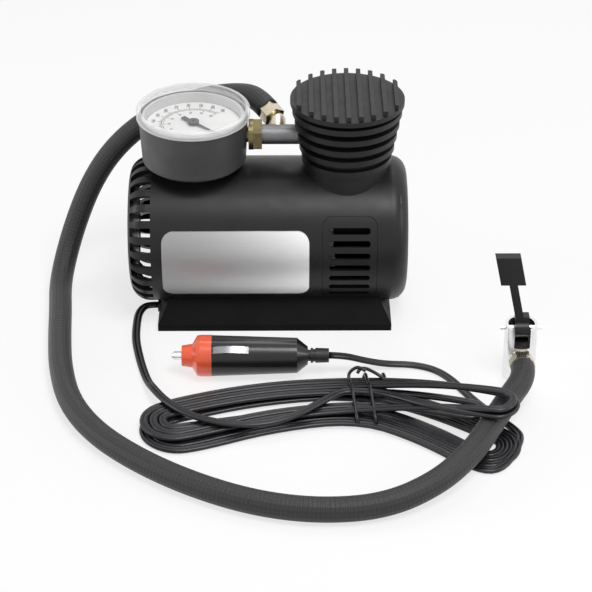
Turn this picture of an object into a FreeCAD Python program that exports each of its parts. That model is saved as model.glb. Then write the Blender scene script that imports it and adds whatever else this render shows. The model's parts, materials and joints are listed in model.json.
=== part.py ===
"""Portable 12 V tyre inflator, as a parametric assembly. Millimetres, +Z up, -Y to the front.

The origin lies on the floor under the middle of the motor housing, which runs along X.
"""
import FreeCAD
import Part
import math
import os
import re

import Sketcher
from FreeCAD import Placement, Rotation, Vector

# Driving sizes. A name that starts with a piece's name is that piece's own size.
SIZES = {
    # Housing: a barrel that lies along X, split in a front and a rear half
    "housing_length": 144.5, "housing_radius": 38.1, "housing_wall": 2.2, "housing_gap": 3.0,
    "housing_right_round": 8.5, "housing_left_round": 10.0,
    "vent_inset": 1.4, "vent_length": 10.8, "vent_width": 4.6, "vent_depth": 9.0, "vent_count": 28,
    "boss_radius": 3.6, "boss_inset": 9.1, "boss_left": -53.0, "boss_right": 65.0,
    "screw_radius": 1.4, "screw_head_radius": 2.7, "screw_head_depth": 1.8, "screw_length": 34.0,
    "rib_thick": 2.0, "rib_left": -30.0, "rib_right": 10.0, "rib_rise": 8.0,
    "fit_gap": 0.15, "seat_gap": 0.02,
    # Vent grille let into the front half
    "grille_left": 27.85, "grille_width": 28.3, "grille_top": 23.6, "grille_bottom": 24.5,
    "grille_round": 5.0, "slot_left": 31.45, "slot_length": 21.0, "slot_height": 3.4, "slot_bevel": 0.9,
    "slot_first": 26.6, "slot_pitch": 10.08, "slot_count": 7,
    # Name plate, bare
    "plate_left": -54.35, "plate_width": 75.5, "plate_top": 17.4, "plate_bottom": 20.9, "plate_round": 6.0,
    "plate_thick": 0.6,
    # Foot
    "foot_left": -57.75, "foot_length": 122.0, "foot_depth": 74.0, "foot_rim": 3.75, "foot_rise": 15.0,
    "foot_end_slope": 8.5, "foot_front_slope": 12.0, "foot_recess": 1.2, "foot_recess_inset": 6.0,
    "foot_screw_radius": 1.5, "foot_screw_spread": 70.0, "foot_screw_length": 6.0, "foot_screw_head": 3.0,
    # Gear frame: a plate across the housing and a flange that carries the cylinder
    "frame_left": 24.0, "frame_thick": 3.0, "frame_half_width": 22.0, "frame_bottom": 9.5,
    "web_length": 10.0, "web_thick": 2.0, "web_depth": 8.0,
    "flange_rise": 22.9, "flange_thick": 3.0, "flange_right": 59.0, "flange_half_width": 17.5,
    # Motor
    "motor_radius": 13.9, "motor_length": 60.0, "motor_wall": 1.0, "motor_boss_radius": 4.5,
    "motor_boss_length": 2.5, "motor_cap_length": 8.0, "motor_cap_floor": 2.5,
    "shaft_radius": 1.5, "shaft_gap": 0.04, "shaft_left": -39.5, "shaft_right": 35.5, "bush_radius": 3.4,
    "magnet_thick": 2.6, "magnet_length": 36.0, "magnet_left": -20.0, "magnet_angle": 140.0,
    "armature_radius": 9.0, "armature_length": 28.0, "armature_left": -16.0, "armature_core_radius": 4.4,
    "armature_slot": 1.8, "armature_poles": 5, "winding_radius": 7.6, "winding_overhang": 3.5,
    "winding_gap": 1.5,
    "commutator_radius": 3.6, "commutator_length": 7.0, "commutator_left": -29.0,
    "brush_width": 3.0, "brush_gap": 0.1, "brush_inset": 1.0, "brush_ring_gap": 2.5,
    "motor_screw_radius": 1.2, "motor_screw_pitch": 8.0, "motor_screw_head": 1.92,
    "motor_screw_head_depth": 0.8,
    # Gears and crank
    "gear_module": 0.7, "pinion_teeth": 12, "gear_teeth": 42, "gear_left": 29.0, "gear_face": 5.0,
    "gear_addendum": 0.5, "pinion_addendum": 0.7, "tooth_root": 0.95, "tooth_slack": 0.08,
    "pinion_left": 28.5, "pinion_face": 6.5,
    "crank_throw": 6.0, "crank_shaft_radius": 2.0, "crank_shaft_left": 14.5, "crank_bush_radius": 3.4,
    "crank_boss_radius": 4.6, "crank_boss_left": 15.0, "crank_shoulder_radius": 3.0,
    "crank_shoulder_gap": 0.3, "gear_window_radius": 2.6, "gear_window_first": 210.0,
    "gear_window_pitch": 60.0, "gear_window_count": 3,
    "crank_pin_radius": 2.5, "crank_pin_gap": 0.4, "crank_pin_end": 44.2,
    # Cylinder, piston and rod, on the upright axis through the head
    "head_x": 40.75, "tube_rise": 17.1, "chamber_drop": 4.8, "valve_plate_thick": 1.5, "gasket_thick": 0.6,
    "bore_radius": 11.0, "sleeve_wall": 1.5, "piston_gap": 0.1, "piston_height": 9.0, "piston_head": 2.6,
    "piston_skirt_radius": 8.4, "piston_top_gap": 0.5,
    "ring_height": 1.4, "ring_depth": 1.0, "ring_drop": 1.4, "ring_gap": 0.05, "ring_bore_gap": 0.04,
    "wrist_drop": 5.6, "wrist_pin_radius": 2.0, "wrist_pin_length": 20.0, "wrist_eye_radius": 2.9,
    "wrist_boss_radius": 3.6, "wrist_side_gap": 0.3, "pin_gap": 0.04, "crank_rise": 0.2,
    "rod_thick": 5.0, "rod_width": 5.0, "rod_eye_radius": 5.4,
    "reed_thick": 0.3, "reed_width": 4.0, "reed_length": 12.0, "port_radius": 1.2, "port_spread": 4.0,
    # Finned head
    "spigot_radius": 17.5, "collar_radius": 22.0, "collar_rise": 26.0, "core_radius": 20.5,
    "chamber_radius": 9.0, "chamber_height": 9.5, "top_radius": 29.2, "head_rise": 20.7, "top_thick": 2.6,
    "fin_top_radius": 28.1, "fin_step_in": 1.2, "fin_drop": 5.0, "fin_pitch": 6.5, "fin_thick": 3.0,
    "fin_count": 5, "ridge_width": 2.3, "ridge_height": 2.8, "ridge_pitch": 6.2, "ridge_count": 9,
    "head_screw_radius": 1.25, "head_screw_circle": 15.0, "head_screw_length": 14.0,
    "head_screw_head": 2.25, "head_screw_head_depth": 1.5,
    # Outlet tube and the fittings on it
    "tube_radius": 5.1, "tube_bore": 3.0, "tube_left": -2.95, "tube_seat": 12.6,
    "nut_radius": 8.65, "nut_length": 4.3, "washer_radius": 7.9, "washer_length": 2.5,
    "stem_radius": 4.0, "stem_bore": 1.5, "stem_in_tube": 3.5, "stem_block": 8.0, "stem_block_shift": 5.0,
    "elbow_x": 5.0, "elbow_radius": 4.4, "elbow_reach": 9.9, "elbow_rise": 17.0, "elbow_bar_radius": 3.4,
    "elbow_bar_start": 2.2, "elbow_port_radius": 3.5, "spout_radius": 3.2,
    "hose_nut_radius": 6.0, "hose_nut_start": 2.6, "hose_nut_length": 6.8,
    # Pressure gauge, standing nearly level
    "gauge_x": -37.95, "gauge_tilt": 0.5, "gauge_stem_height": 14.2, "gauge_case_height": 25.4,
    "gauge_foot_radius": 26.8, "gauge_mouth_radius": 28.0, "gauge_wall": 1.6, "gauge_floor": 1.8,
    "gauge_ledge_height": 19.6, "gauge_ledge_thick": 1.2, "gauge_ledge_inner": 23.8,
    "lens_radius": 29.1, "lens_height": 4.3, "lens_thick": 1.6, "lens_skirt": 2.2,
    "dial_radius": 24.6, "dial_thick": 0.6, "needle_lift": 0.8, "needle_thick": 0.5, "needle_tip": 19.5,
    "needle_tail": 8.0, "needle_half_width": 0.8, "needle_tail_half_width": 1.4, "needle_hub_radius": 2.9,
    "needle_hub_drop": 0.5, "needle_hub_height": 1.7, "needle_start": -45.0,
    "spindle_radius": 0.8, "spindle_dial_gap": 0.5, "movement_low": 6.0, "movement_high": 15.0,
    "movement_plate": 1.0, "movement_half_width": 5.0, "movement_left": -15.5, "movement_right": 4.5,
    "pillar_radius": 1.0, "pillar_inset_left": 1.5, "pillar_inset": 1.2,
    "sector_module": 0.5, "sector_teeth": 40, "needle_pinion_teeth": 8, "sector_thick": 1.5,
    "needle_pinion_overlap": 0.3, "needle_pinion_addendum": 0.45, "sector_addendum": 0.4,
    "movement_tooth_root": 0.62, "movement_tooth_slack": 0.06,
    "sector_half_angle": 34.0, "sector_rest": -27.0, "sector_height": 10.0, "sector_hub_radius": 1.6,
    "arbor_radius": 0.7,
    "bourdon_radius": 21.5, "bourdon_thick": 1.5, "bourdon_angle": 255.0,
    # Plug for the 12 V socket, lying along X in front of the housing
    "plug_y": -76.5, "plug_z": 10.6, "plug_tip_x": -48.45, "plug_nose_x": -43.35, "plug_joint_x": -28.15,
    "plug_taper_x": 14.65, "plug_cone_x": 20.15, "plug_boot_x": 30.75,
    "plug_radius": 10.5, "plug_body_radius": 10.35, "plug_rear_radius": 8.9, "plug_end_radius": 4.5,
    "plug_nose_radius": 5.2, "plug_nose_length": 5.3, "plug_nose_flare": 0.8, "plug_nose_floor": 4.0,
    "plug_cone_length": 2.5, "plug_cone_drop": 0.3, "plug_ring_length": 1.5,
    "plug_pin_radius": 2.15, "plug_pin_flange": 3.6, "plug_pin_gap": 0.1, "plug_pin_tip_length": 1.2,
    "plug_pin_travel": 2.0, "plug_thread_length": 4.0, "plug_thread_radius": 8.0, "plug_thread_gap": 0.05,
    "plug_cord_bore": 1.5, "plug_boot_seat": 5.0,
    "fuse_room": 4.2, "fuse_radius": 3.1, "fuse_length": 30.0,
    "spring_radius": 2.6, "spring_wire": 0.35, "spring_turns": 5,
    "contact_length": 18.4, "contact_width": 3.6, "contact_thick": 0.6, "contact_rise": 1.5,
    "contact_seat": 9.2, "contact_floor": 6.9, "contact_angle": 40.0, "contact_end_gap": 0.2,
    "boot_radius": 3.8, "boot_neck_radius": 2.9, "boot_ring_pitch": 2.6, "boot_groove_radius": 3.2,
    "boot_groove_length": 1.2, "boot_step": 1.4, "boot_end_radius": 3.57,
    # Valve chuck on the end of the hose, standing on its mouth
    "chuck_x": 126.5, "chuck_y": -79.0, "chuck_radius": 8.2, "chuck_height": 31.0, "chuck_wall": 1.6,
    "chuck_lip": 1.0, "chuck_lip_gap": 0.4, "chuck_bevel": 0.6,
    "chuck_boss_radius": 5.4, "chuck_boss_length": 8.6, "chuck_slot_width": 7.8, "chuck_slot_z": 20.8,
    "chuck_pin_z": 28.6, "chuck_pin_radius": 1.25, "chuck_pin_length": 21.0, "chuck_port_z": 14.6,
    "gasket_gap": 0.05, "gasket_bore": 4.1, "gasket_length": 11.0,
    "plunger_gap": 0.1, "plunger_low": 17.4, "plunger_top": 23.7, "plunger_pin_radius": 1.3,
    "plunger_pin_low": 12.4, "lever_width": 7.0, "lever_cam_radius": 4.6, "lever_cam_throw": 1.2,
    "lever_block_top": 36.0, "lever_stem_width": 4.2, "lever_paddle_width": 12.4,
    "lever_paddle_depth": 5.0, "lever_paddle_z": 54.5, "lever_top_z": 70.0, "lever_lean": 12.0,
    "ferrule_radius": 6.4, "ferrule_length": 6.0, "barb_radius": 2.4, "barb_bore": 1.2,
    # Cords
    "hose_radius": 6.0, "hose_first_run": 11.0, "hose_last_run": 9.0, "lead_radius": 2.0,
    "lead_first_run": 5.0, "lead_last_run": 9.0, "tail_first_run": 8.0, "tail_last_run": 10.0,
    "gland_length": 5.0, "gland_width": 7.0, "gland_height": 4.4,
    "gland_y": -14.5, "cord_z": 2.3, "floor_gap": 0.2,
    "hank_x": 45.0, "hank_y": -105.0, "hank_bend": 192.0, "hank_left": 92.0, "hank_right": 66.0,
    "hank_pitch": 4.8, "hank_right_pitch": 6.5, "hank_layer": 4.6, "hank_waist_lift": 1.6,
    "hank_left_inner": 9.0, "hank_lead_in": 0.94, "hank_lead_drop": 0.6,
    "hank_low_inner": 6.0, "hank_low_shift": -13.0, "hank_high_inner": 4.5, "hank_high_shift": -1.0,
    "hank_high_z": 22.4, "hank_start_z": 13.2,
    "tie_wire": 0.65, "tie_spread": 9.0,
}
# A cutting tool runs a millimetre or more past what it cuts. Those lengths are plain numbers in the calls.

# Places worked out from the sizes, so that what fits together moves together.
PLACES = {
    "axis_z": "housing_gap + housing_radius",
    "inner_radius": "housing_radius - housing_wall",
    "housing_left": "-housing_length / 2",
    "housing_right": "housing_length / 2",
    "foot_middle": "foot_left + foot_length / 2",
    "gear_distance": "gear_module * (pinion_teeth + gear_teeth) / 2",
    "tube_z": "axis_z + housing_radius + tube_rise",
    "top_z": "tube_z + head_rise",
    "fin_first_z": "top_z - fin_drop",
    "flange_top": "axis_z + flange_rise",
    "boss_height": "housing_radius - boss_inset",
    "valve_z": "tube_z - chamber_drop",
    "gasket_top": "valve_z - valve_plate_thick",
    "sleeve_top": "gasket_top - gasket_thick",
    "piston_top": "sleeve_top - piston_top_gap",
    "wrist_z": "piston_top - wrist_drop",
    "crank_z": "axis_z + crank_rise",
    "pin_z": "crank_z + crank_throw",
    "rod_length": "wrist_z - pin_z",
    "motor_z": "crank_z - gear_distance",
    "motor_right": "frame_left",
    "motor_left": "frame_left - motor_length",
    "motor_inner": "motor_radius - motor_wall",
    "sleeve_radius": "bore_radius + sleeve_wall",
    "gauge_y": "gauge_stem_height * sin(gauge_tilt)",
    "gauge_z": "tube_z - gauge_stem_height * cos(gauge_tilt)",
    "dial_z": "gauge_ledge_height",
    "bourdon_height": "gauge_stem_height",
    "sector_distance": "sector_module * (sector_teeth + needle_pinion_teeth) / 2",
    "chuck_inner": "chuck_radius - chuck_wall",
    "nut_left": "tube_left - nut_length",
    "washer_left": "nut_left - washer_length",
}

doc = FreeCAD.newDocument("Inflator")
sheet = doc.addObject("Spreadsheet::Sheet", "Sizes")
for row, (alias, value) in enumerate(SIZES.items(), start=1):
    sheet.set(f"A{row}", alias)
    sheet.set(f"B{row}", str(value))
    sheet.setAlias(f"B{row}", alias)
doc.recompute()

WORD = re.compile(r"[a-z][a-z_0-9]*")
X_AXIS, Y_AXIS, Z_AXIS = Vector(1, 0, 0), Vector(0, 1, 0), Vector(0, 0, 1)
finished = []


def bind(expression):
    """Turn words of SIZES and PLACES in an expression into references to the sheet."""
    def replace(match):
        word = match.group(0)
        if word in PLACES:
            return f"({bind(PLACES[word])})"
        return f"Sizes.{word}" if word in SIZES else word
    return WORD.sub(replace, str(expression))


def number(expression):
    """The value of an expression, in millimetres, degrees or a plain count."""
    value = sheet.evalExpression(bind(expression))
    return float(getattr(value, "Value", value))


def point(x, y, z):
    return Vector(number(x), number(y), number(z))


def bind_all(item, **properties):
    for name, expression in properties.items():
        item.setExpression(name, bind(expression))
    return item


def place(item, at, rotation=None):
    """Put an object at a bound position, turned by a rotation."""
    item.Placement = Placement(point(*at), rotation or Rotation())
    for axis, expression in zip("xyz", at):
        item.setExpression(f"Placement.Base.{axis}", bind(expression))
    return item


def turn_to(direction):
    return Rotation(Z_AXIS, direction)


def rod(name, radius, length, at, along=Z_AXIS):
    """A round bar from a point, along a direction."""
    item = bind_all(doc.addObject("Part::Cylinder", name), Radius=radius, Height=length)
    return place(item, at, turn_to(along))


def hexagon(name, radius, length, at, along=Z_AXIS):
    item = bind_all(doc.addObject("Part::Prism", name), Circumradius=radius, Height=length)
    item.Polygon = 6
    return place(item, at, turn_to(along))


def block(name, low, size):
    """A box with its low corner at a point."""
    item = doc.addObject("Part::Box", name)
    bind_all(item, Length=size[0], Width=size[1], Height=size[2])
    return place(item, low)


def ball(name, radius, at):
    return place(bind_all(doc.addObject("Part::Sphere", name), Radius=radius), at)


def fuse(name, *shapes):
    item = doc.addObject("Part::MultiFuse", name)
    item.Shapes = list(shapes)
    return item


def common(name, *shapes):
    item = doc.addObject("Part::MultiCommon", name)
    item.Shapes = list(shapes)
    return item


def cut(name, base, *tools):
    item = doc.addObject("Part::Cut", name)
    item.Base = base
    item.Tool = tools[0] if len(tools) == 1 else fuse(name + "_tools", *tools)
    return item


def tube(name, radius, bore, length, at, along=Z_AXIS):
    """A round bar with a hole right through it."""
    bar = rod(name + "_bar", radius, length, at, along)
    return cut(name, bar, rod(name + "_bore", bore, length, at, along))


def plane_of(body, role):
    return [item for item in body.Origin.OriginFeatures if item.Role == role][0]


def section(body, name, corners, role="XZ_Plane"):
    """A closed outline of straight lines, every corner bound to the sheet."""
    sketch = body.newObject("Sketcher::SketchObject", name)
    sketch.AttachmentSupport = [(plane_of(body, role), "")]
    sketch.MapMode = "FlatFace"
    values = [(number(x), number(y)) for x, y in corners]
    count = len(corners)
    for index in range(count):
        start, end = values[index], values[(index + 1) % count]
        sketch.addGeometry(Part.LineSegment(Vector(*start, 0), Vector(*end, 0)), False)
    for index in range(count):
        sketch.addConstraint(Sketcher.Constraint("Coincident", index, 2, (index + 1) % count, 1))
    for index, corner in enumerate(corners):
        for kind, on_axis, side in (("DistanceX", -2, 0), ("DistanceY", -1, 1)):
            if corner[side] == "0":
                sketch.addConstraint(Sketcher.Constraint("PointOnObject", index, 1, on_axis))
                continue
            rule = Sketcher.Constraint(kind, -1, 1, index, 1, values[index][side])
            sketch.setExpression(f"Constraints[{sketch.addConstraint(rule)}]", bind(corner[side]))
    return sketch


def turned(name, stations, at=("0", "0", "0"), along=Z_AXIS):
    """A turned piece from the corners (distance along the axis, radius) of its half section."""
    body = doc.addObject("PartDesign::Body", name)
    sketch = section(body, name + "_section", [(radius, distance) for distance, radius in stations])
    turn = body.newObject("PartDesign::Revolution", name + "_turn")
    turn.Profile = sketch
    turn.ReferenceAxis = (sketch, ["V_Axis"])
    turn.Angle = 360
    return place(body, at, turn_to(along))


def rounded_panel(name, left, width, top, bottom, corner):
    """A prism with rounded corners that runs from the housing's axis out through its front."""
    body = doc.addObject("PartDesign::Body", name)
    right = f"{left} + {width}"
    corners = [(left, f"-({bottom})"), (right, f"-({bottom})"), (right, top), (left, top)]
    sketch = section(body, name + "_outline", corners)
    pad = body.newObject("PartDesign::Pad", name + "_pad")
    pad.Profile = sketch
    bind_all(pad, Length="housing_radius + 5")
    doc.recompute()
    edges = [f"Edge{i}" for i, edge in enumerate(pad.Shape.Edges, start=1)
             if abs(edge.BoundBox.YLength - number("housing_radius + 5")) < 1e-6]
    rounding = body.newObject("PartDesign::Fillet", name + "_corners")
    rounding.Base = (pad, edges)
    bind_all(rounding, Radius=corner)
    return place(body, ("0", "0", "axis_z"))


def solid(name, shape, at=("0", "0", "0"), rotation=None):
    """A piece whose shape is made by this script's own formulas."""
    item = doc.addObject("Part::Feature", name)
    item.Shape = shape
    return place(item, at, rotation)


def keep(item, name):
    """Mark an object as a finished piece of the assembly, under its own name."""
    item.Label = name
    finished.append(item)
    return item


def group(pieces, name):
    """Several alike pieces that share one name, each a solid of its own."""
    item = doc.addObject("Part::Compound", name + "_set")
    item.Links = pieces
    return keep(item, name)


# Toothed wheels

def involute_point(base_radius, radius, centre, half_width, side):
    """A point of a tooth's flank, on one side of the tooth's middle."""
    reach = max(radius, base_radius)
    pressure = math.acos(base_radius / reach)
    angle = centre + side * (half_width - (math.tan(pressure) - pressure))
    return Vector(radius * math.cos(angle), radius * math.sin(angle), 0)


def toothed_wheel(module, teeth, addendum, root, slack, face, first):
    """A straight-toothed wheel; the first tooth's middle points at the angle first, in radians."""
    pitch_radius = module * teeth / 2
    base_radius = pitch_radius * math.cos(math.radians(20))
    tip_radius, root_radius = pitch_radius + addendum, pitch_radius - root
    half_pitch = (math.pi / 2) / teeth - slack / pitch_radius
    pitch_pressure = math.acos(base_radius / pitch_radius)
    half_width = half_pitch + math.tan(pitch_pressure) - pitch_pressure
    low = max(root_radius, base_radius)
    radii = [root_radius] + [low + (tip_radius - low) * step / 4 for step in range(5)]
    if root_radius >= base_radius:
        radii = radii[1:]
    corners = []
    for tooth in range(teeth):
        centre = first + 2 * math.pi * tooth / teeth
        corners += [involute_point(base_radius, radius, centre, half_width, -1) for radius in radii]
        corners += [involute_point(base_radius, radius, centre, half_width, 1) for radius in reversed(radii)]
    outline = Part.makePolygon(corners + corners[:1])
    return Part.Face(outline).extrude(Vector(0, 0, face))


# Paths of cords

def tangent_arc(start, direction, end):
    """The arc or line from a point along a direction to another point, and its direction there."""
    chord = end - start
    length = chord.Length
    along = Vector(chord).normalize()
    across = direction - along * direction.dot(along)
    if across.Length < 1e-5:
        return Part.LineSegment(start, end).toShape(), along
    turn = math.atan2(across.Length, direction.dot(along))
    across.normalize()
    middle = (start + end) * 0.5 + across * (length / 2 * math.tan(turn / 2))
    leaving = along * math.cos(turn) - across * math.sin(turn)
    return Part.Arc(start, middle, end).toShape(), leaving


def biarc(start, direction, end, leaving):
    """Two tangent arcs that join two points with given directions."""
    gap = end - start
    both = direction + leaving
    spread = 2 * (1 - direction.dot(leaving))
    reach = gap.dot(both)
    if spread < 1e-9:
        share = gap.dot(gap) / (2 * reach)
    else:
        share = (-reach + math.sqrt(reach * reach + spread * gap.dot(gap))) / spread
    middle = (start + direction * share + end - leaving * share) * 0.5
    first, joint = tangent_arc(start, direction, middle)
    second, _ = tangent_arc(middle, joint, end)
    return [first, second]


def swept(edges, radius):
    """A round tube along joined edges, and the length of its path."""
    path = Part.Wire(edges)
    start = edges[0].valueAt(edges[0].FirstParameter)
    direction = edges[0].tangentAt(edges[0].FirstParameter)
    ring = Part.Wire(Part.Circle(start, direction, radius).toShape())
    shell = Part.BRepOffsetAPI.MakePipeShell(path)
    shell.add(ring)
    shell.build()
    shell.makeSolid()
    made = shell.shape()
    share = made.Volume / (math.pi * radius ** 2 * path.Length)
    print(f"  tube length {path.Length:.1f} mm, volume over section times length {share:.4f}")
    return made


def rounded_route(points, name):
    """Straight runs joined by arcs that are as large as their runs allow."""
    corners = [Vector(*p) for p in points]
    edges, radii, last = [], [], corners[0]
    for before, corner, after in zip(corners, corners[1:], corners[2:]):
        back, ahead = before - corner, after - corner
        turn = math.pi - back.getAngle(ahead)
        trim = 0.45 * min(back.Length, ahead.Length)
        radii.append(trim / math.tan(turn / 2))
        arrive = corner + Vector(back).normalize() * trim
        leave = corner + Vector(ahead).normalize() * trim
        bisector = Vector(back).normalize() + Vector(ahead).normalize()
        bisector.normalize()
        centre = corner + bisector * (radii[-1] / math.cos(turn / 2))
        middle = centre - bisector * radii[-1]
        edges.append(Part.LineSegment(last, arrive).toShape())
        edges.append(Part.Arc(arrive, middle, leave).toShape())
        last = leave
    edges.append(Part.LineSegment(last, corners[-1]).toShape())
    runs = [(b - a).Length for a, b in zip(corners, corners[1:])]
    print(name, "radii", [round(r) for r in radii], "runs", [round(r) for r in runs])
    return edges


# Housing

shell = doc.addObject("PartDesign::Body", "housing_shell")
shell_section = section(shell, "housing_section", [
    ("housing_left", "0"), ("housing_left", "housing_radius"), ("housing_right", "housing_radius"),
    ("housing_right", "0"),
], "XZ_Plane")
shell_turn = shell.newObject("PartDesign::Revolution", "housing_turn")
shell_turn.Profile = shell_section
shell_turn.ReferenceAxis = (shell_section, ["H_Axis"])
shell_turn.Angle = 360
doc.recompute()


def end_circles(feature, x):
    """The circular edges of a feature that lie in the plane at x."""
    return [f"Edge{i}" for i, edge in enumerate(feature.Shape.Edges, start=1)
            if edge.BoundBox.XLength < 1e-6 and abs(edge.BoundBox.XMin - x) < 1e-6]


left_round = shell.newObject("PartDesign::Fillet", "housing_left_corner")
left_round.Base = (shell_turn, end_circles(shell_turn, number("housing_left")))
bind_all(left_round, Radius="housing_left_round")
doc.recompute()
right_round = shell.newObject("PartDesign::Fillet", "housing_right_corner")
right_round.Base = (left_round, end_circles(left_round, number("housing_right")))
bind_all(right_round, Radius="housing_right_round")
doc.recompute()
cavity_section = section(shell, "housing_cavity_section", [
    ("housing_left + housing_wall", "0"),
    ("housing_left + housing_wall", "inner_radius - housing_left_round * 0.8"),
    ("housing_left + housing_wall + housing_left_round * 0.25", "inner_radius - housing_left_round * 0.25"),
    ("housing_left + housing_wall + housing_left_round * 0.8", "inner_radius"),
    ("housing_right - housing_wall - housing_right_round * 0.8", "inner_radius"),
    ("housing_right - housing_wall - housing_right_round * 0.25",
     "inner_radius - housing_right_round * 0.25"),
    ("housing_right - housing_wall", "inner_radius - housing_right_round * 0.8"),
    ("housing_right - housing_wall", "0"),
], "XZ_Plane")
cavity = shell.newObject("PartDesign::Groove", "housing_cavity")
cavity.Profile = cavity_section
cavity.ReferenceAxis = (cavity_section, ["H_Axis"])
cavity.Angle = 360
vent_section = section(shell, "vent_outline", [
    ("housing_left + vent_inset", "-vent_width / 2"),
    ("housing_left + vent_inset + vent_length", "-vent_width / 2"),
    ("housing_left + vent_inset + vent_length", "vent_width / 2"),
    ("housing_left + vent_inset", "vent_width / 2"),
], "XY_Plane")
bind_all(vent_section, **{"AttachmentOffset.Base.z": "housing_radius - vent_depth"})
vent = shell.newObject("PartDesign::Pocket", "vent_slot")
vent.Profile = vent_section
vent.Reversed = True
bind_all(vent, Length="vent_depth + 1")
vents = shell.newObject("PartDesign::PolarPattern", "vent_ring")
vents.Originals = [vent]
vents.Axis = (plane_of(shell, "X_Axis"), [""])
vents.Angle = 360
bind_all(vents, Occurrences="vent_count")
shell.Tip = vents
place(shell, ("0", "0", "axis_z"))

BOSSES = [(x, z) for x in ("boss_left", "boss_right")
          for z in ("axis_z + boss_height", "axis_z - boss_height")]


def half_box(name, side):
    low = "-housing_radius" if side < 0 else "0"
    return block(name, ("housing_left", low, "axis_z - housing_radius"),
                 ("housing_length", "housing_radius", "2 * housing_radius"))


def half_fittings(name, side):
    """The screw bosses and motor cradles inside one half of the housing."""
    pieces = [rod(f"{name}_boss_{i}", "boss_radius", "housing_radius", (x, "0", z), Vector(0, side, 0))
              for i, (x, z) in enumerate(BOSSES)]
    low = "-housing_radius" if side < 0 else "0"
    for i, x in enumerate(("rib_left", "rib_right")):
        pieces.append(block(f"{name}_rib_{i}", (x, low, "axis_z - housing_radius"),
                            ("rib_thick", "housing_radius", "motor_z + rib_rise - axis_z + housing_radius")))
    envelope = rod(name + "_envelope", "housing_radius - housing_wall / 2",
                   "housing_length - 2 * housing_wall", ("housing_left + housing_wall", "0", "axis_z"),
                   X_AXIS)
    return common(name + "_fittings", fuse(name + "_fitting_blanks", *pieces), envelope)


def motor_room(name):
    return rod(name, "motor_radius + fit_gap", "motor_length + 8", ("motor_left - 6", "0", "motor_z"),
               X_AXIS)


def head_room(name):
    return rod(name, "spigot_radius + fit_gap", "housing_radius + 5", ("head_x", "0", "axis_z"))


def foot_screw_x(index):
    return f"foot_middle + {2 * index - 1} * foot_screw_spread / 2"


def foot_screw_room(name, index):
    return rod(f"{name}_foot_screw_room_{index}", "foot_screw_radius", "foot_rise",
               (foot_screw_x(index), "0", "0"))


def half_blank(name, side):
    """One half of the shell with its fittings."""
    half = common(name + "_shell", shell, half_box(name + "_box", side))
    return fuse(name + "_blank", half, half_fittings(name, side))


front_blank = half_blank("housing_front", -1)
front_tools = [motor_room("housing_front_motor_room"), head_room("housing_front_head_room"),
               rounded_panel("grille_window", "grille_left", "grille_width", "grille_top", "grille_bottom",
                             "grille_round")]
front_tools += [foot_screw_room("housing_front", i) for i in range(2)]
front_tools += [rod(f"housing_front_pilot_{i}", "screw_radius", "screw_length / 2 + 1", (x, "0", z), -Y_AXIS)
                for i, (x, z) in enumerate(BOSSES)]
keep(cut("housing_front_cut", front_blank, *front_tools), "housing_front")

rear_blank = half_blank("housing_rear", 1)
SCREW_SEAT = "screw_length / 2 - screw_head_depth"
rear_tools = [motor_room("housing_rear_motor_room"), head_room("housing_rear_head_room")]
rear_tools += [foot_screw_room("housing_rear", i) for i in range(2)]
for i, (x, z) in enumerate(BOSSES):
    rear_tools.append(rod(f"housing_rear_hole_{i}", "screw_radius + fit_gap", "screw_length", (x, "0", z),
                          Y_AXIS))
    rear_tools.append(rod(f"housing_rear_counterbore_{i}", "screw_head_radius + fit_gap", "housing_radius",
                          (x, SCREW_SEAT, z), Y_AXIS))
keep(cut("housing_rear_cut", rear_blank, *rear_tools), "housing_rear")

screws = []
for i, (x, z) in enumerate(BOSSES):
    shank = rod(f"housing_screw_shank_{i}", "screw_radius", "screw_length - screw_head_depth",
                (x, "-screw_length / 2", z), Y_AXIS)
    head = rod(f"housing_screw_head_{i}", "screw_head_radius", "screw_head_depth", (x, SCREW_SEAT, z),
               Y_AXIS)
    screws.append(fuse(f"housing_screw_{i}", shank, head))

# Vent grille: a piece of the same barrel with a column of slots, let into its window


def grille_slot(index):
    """One slot with bevelled corners, cut straight in from the front at its own angle about the barrel."""
    body = doc.addObject("PartDesign::Body", f"grille_slot_{index}")
    left, right, half = "slot_left", "(slot_left + slot_length)", "(slot_height / 2)"
    outline = section(body, f"grille_slot_outline_{index}", [
        (f"{left} + slot_bevel", f"-{half}"), (f"{right} - slot_bevel", f"-{half}"),
        (right, f"slot_bevel - {half}"), (right, f"{half} - slot_bevel"),
        (f"{right} - slot_bevel", half), (f"{left} + slot_bevel", half),
        (left, f"{half} - slot_bevel"), (left, f"slot_bevel - {half}"),
    ])
    pad = body.newObject("PartDesign::Pad", f"grille_slot_pad_{index}")
    pad.Profile = outline
    bind_all(pad, Length="housing_radius + 5")
    angle = index * number("slot_pitch") - number("slot_first")
    return place(body, ("0", "0", "axis_z"), Rotation(X_AXIS, angle))


grille_band = tube("grille_band", "housing_radius", "inner_radius", "grille_width - 2 * fit_gap",
                   ("grille_left + fit_gap", "0", "axis_z"), X_AXIS)
grille_panel = rounded_panel("grille_panel", "grille_left + fit_gap", "grille_width - 2 * fit_gap",
                             "grille_top - fit_gap", "grille_bottom - fit_gap", "grille_round")
grille_slots = [grille_slot(i) for i in range(int(SIZES["slot_count"]))]
keep(cut("grille_cut", common("grille_blank", grille_band, grille_panel), *grille_slots), "vent_grille")

# Name plate, left bare
plate_band = tube("plate_band", "housing_radius + plate_thick", "housing_radius + seat_gap", "plate_width",
                  ("plate_left", "0", "axis_z"), X_AXIS)
plate_panel = rounded_panel("plate_panel", "plate_left", "plate_width", "plate_top", "plate_bottom",
                            "plate_round")
keep(common("plate_blank", plate_band, plate_panel), "nameplate")

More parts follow.
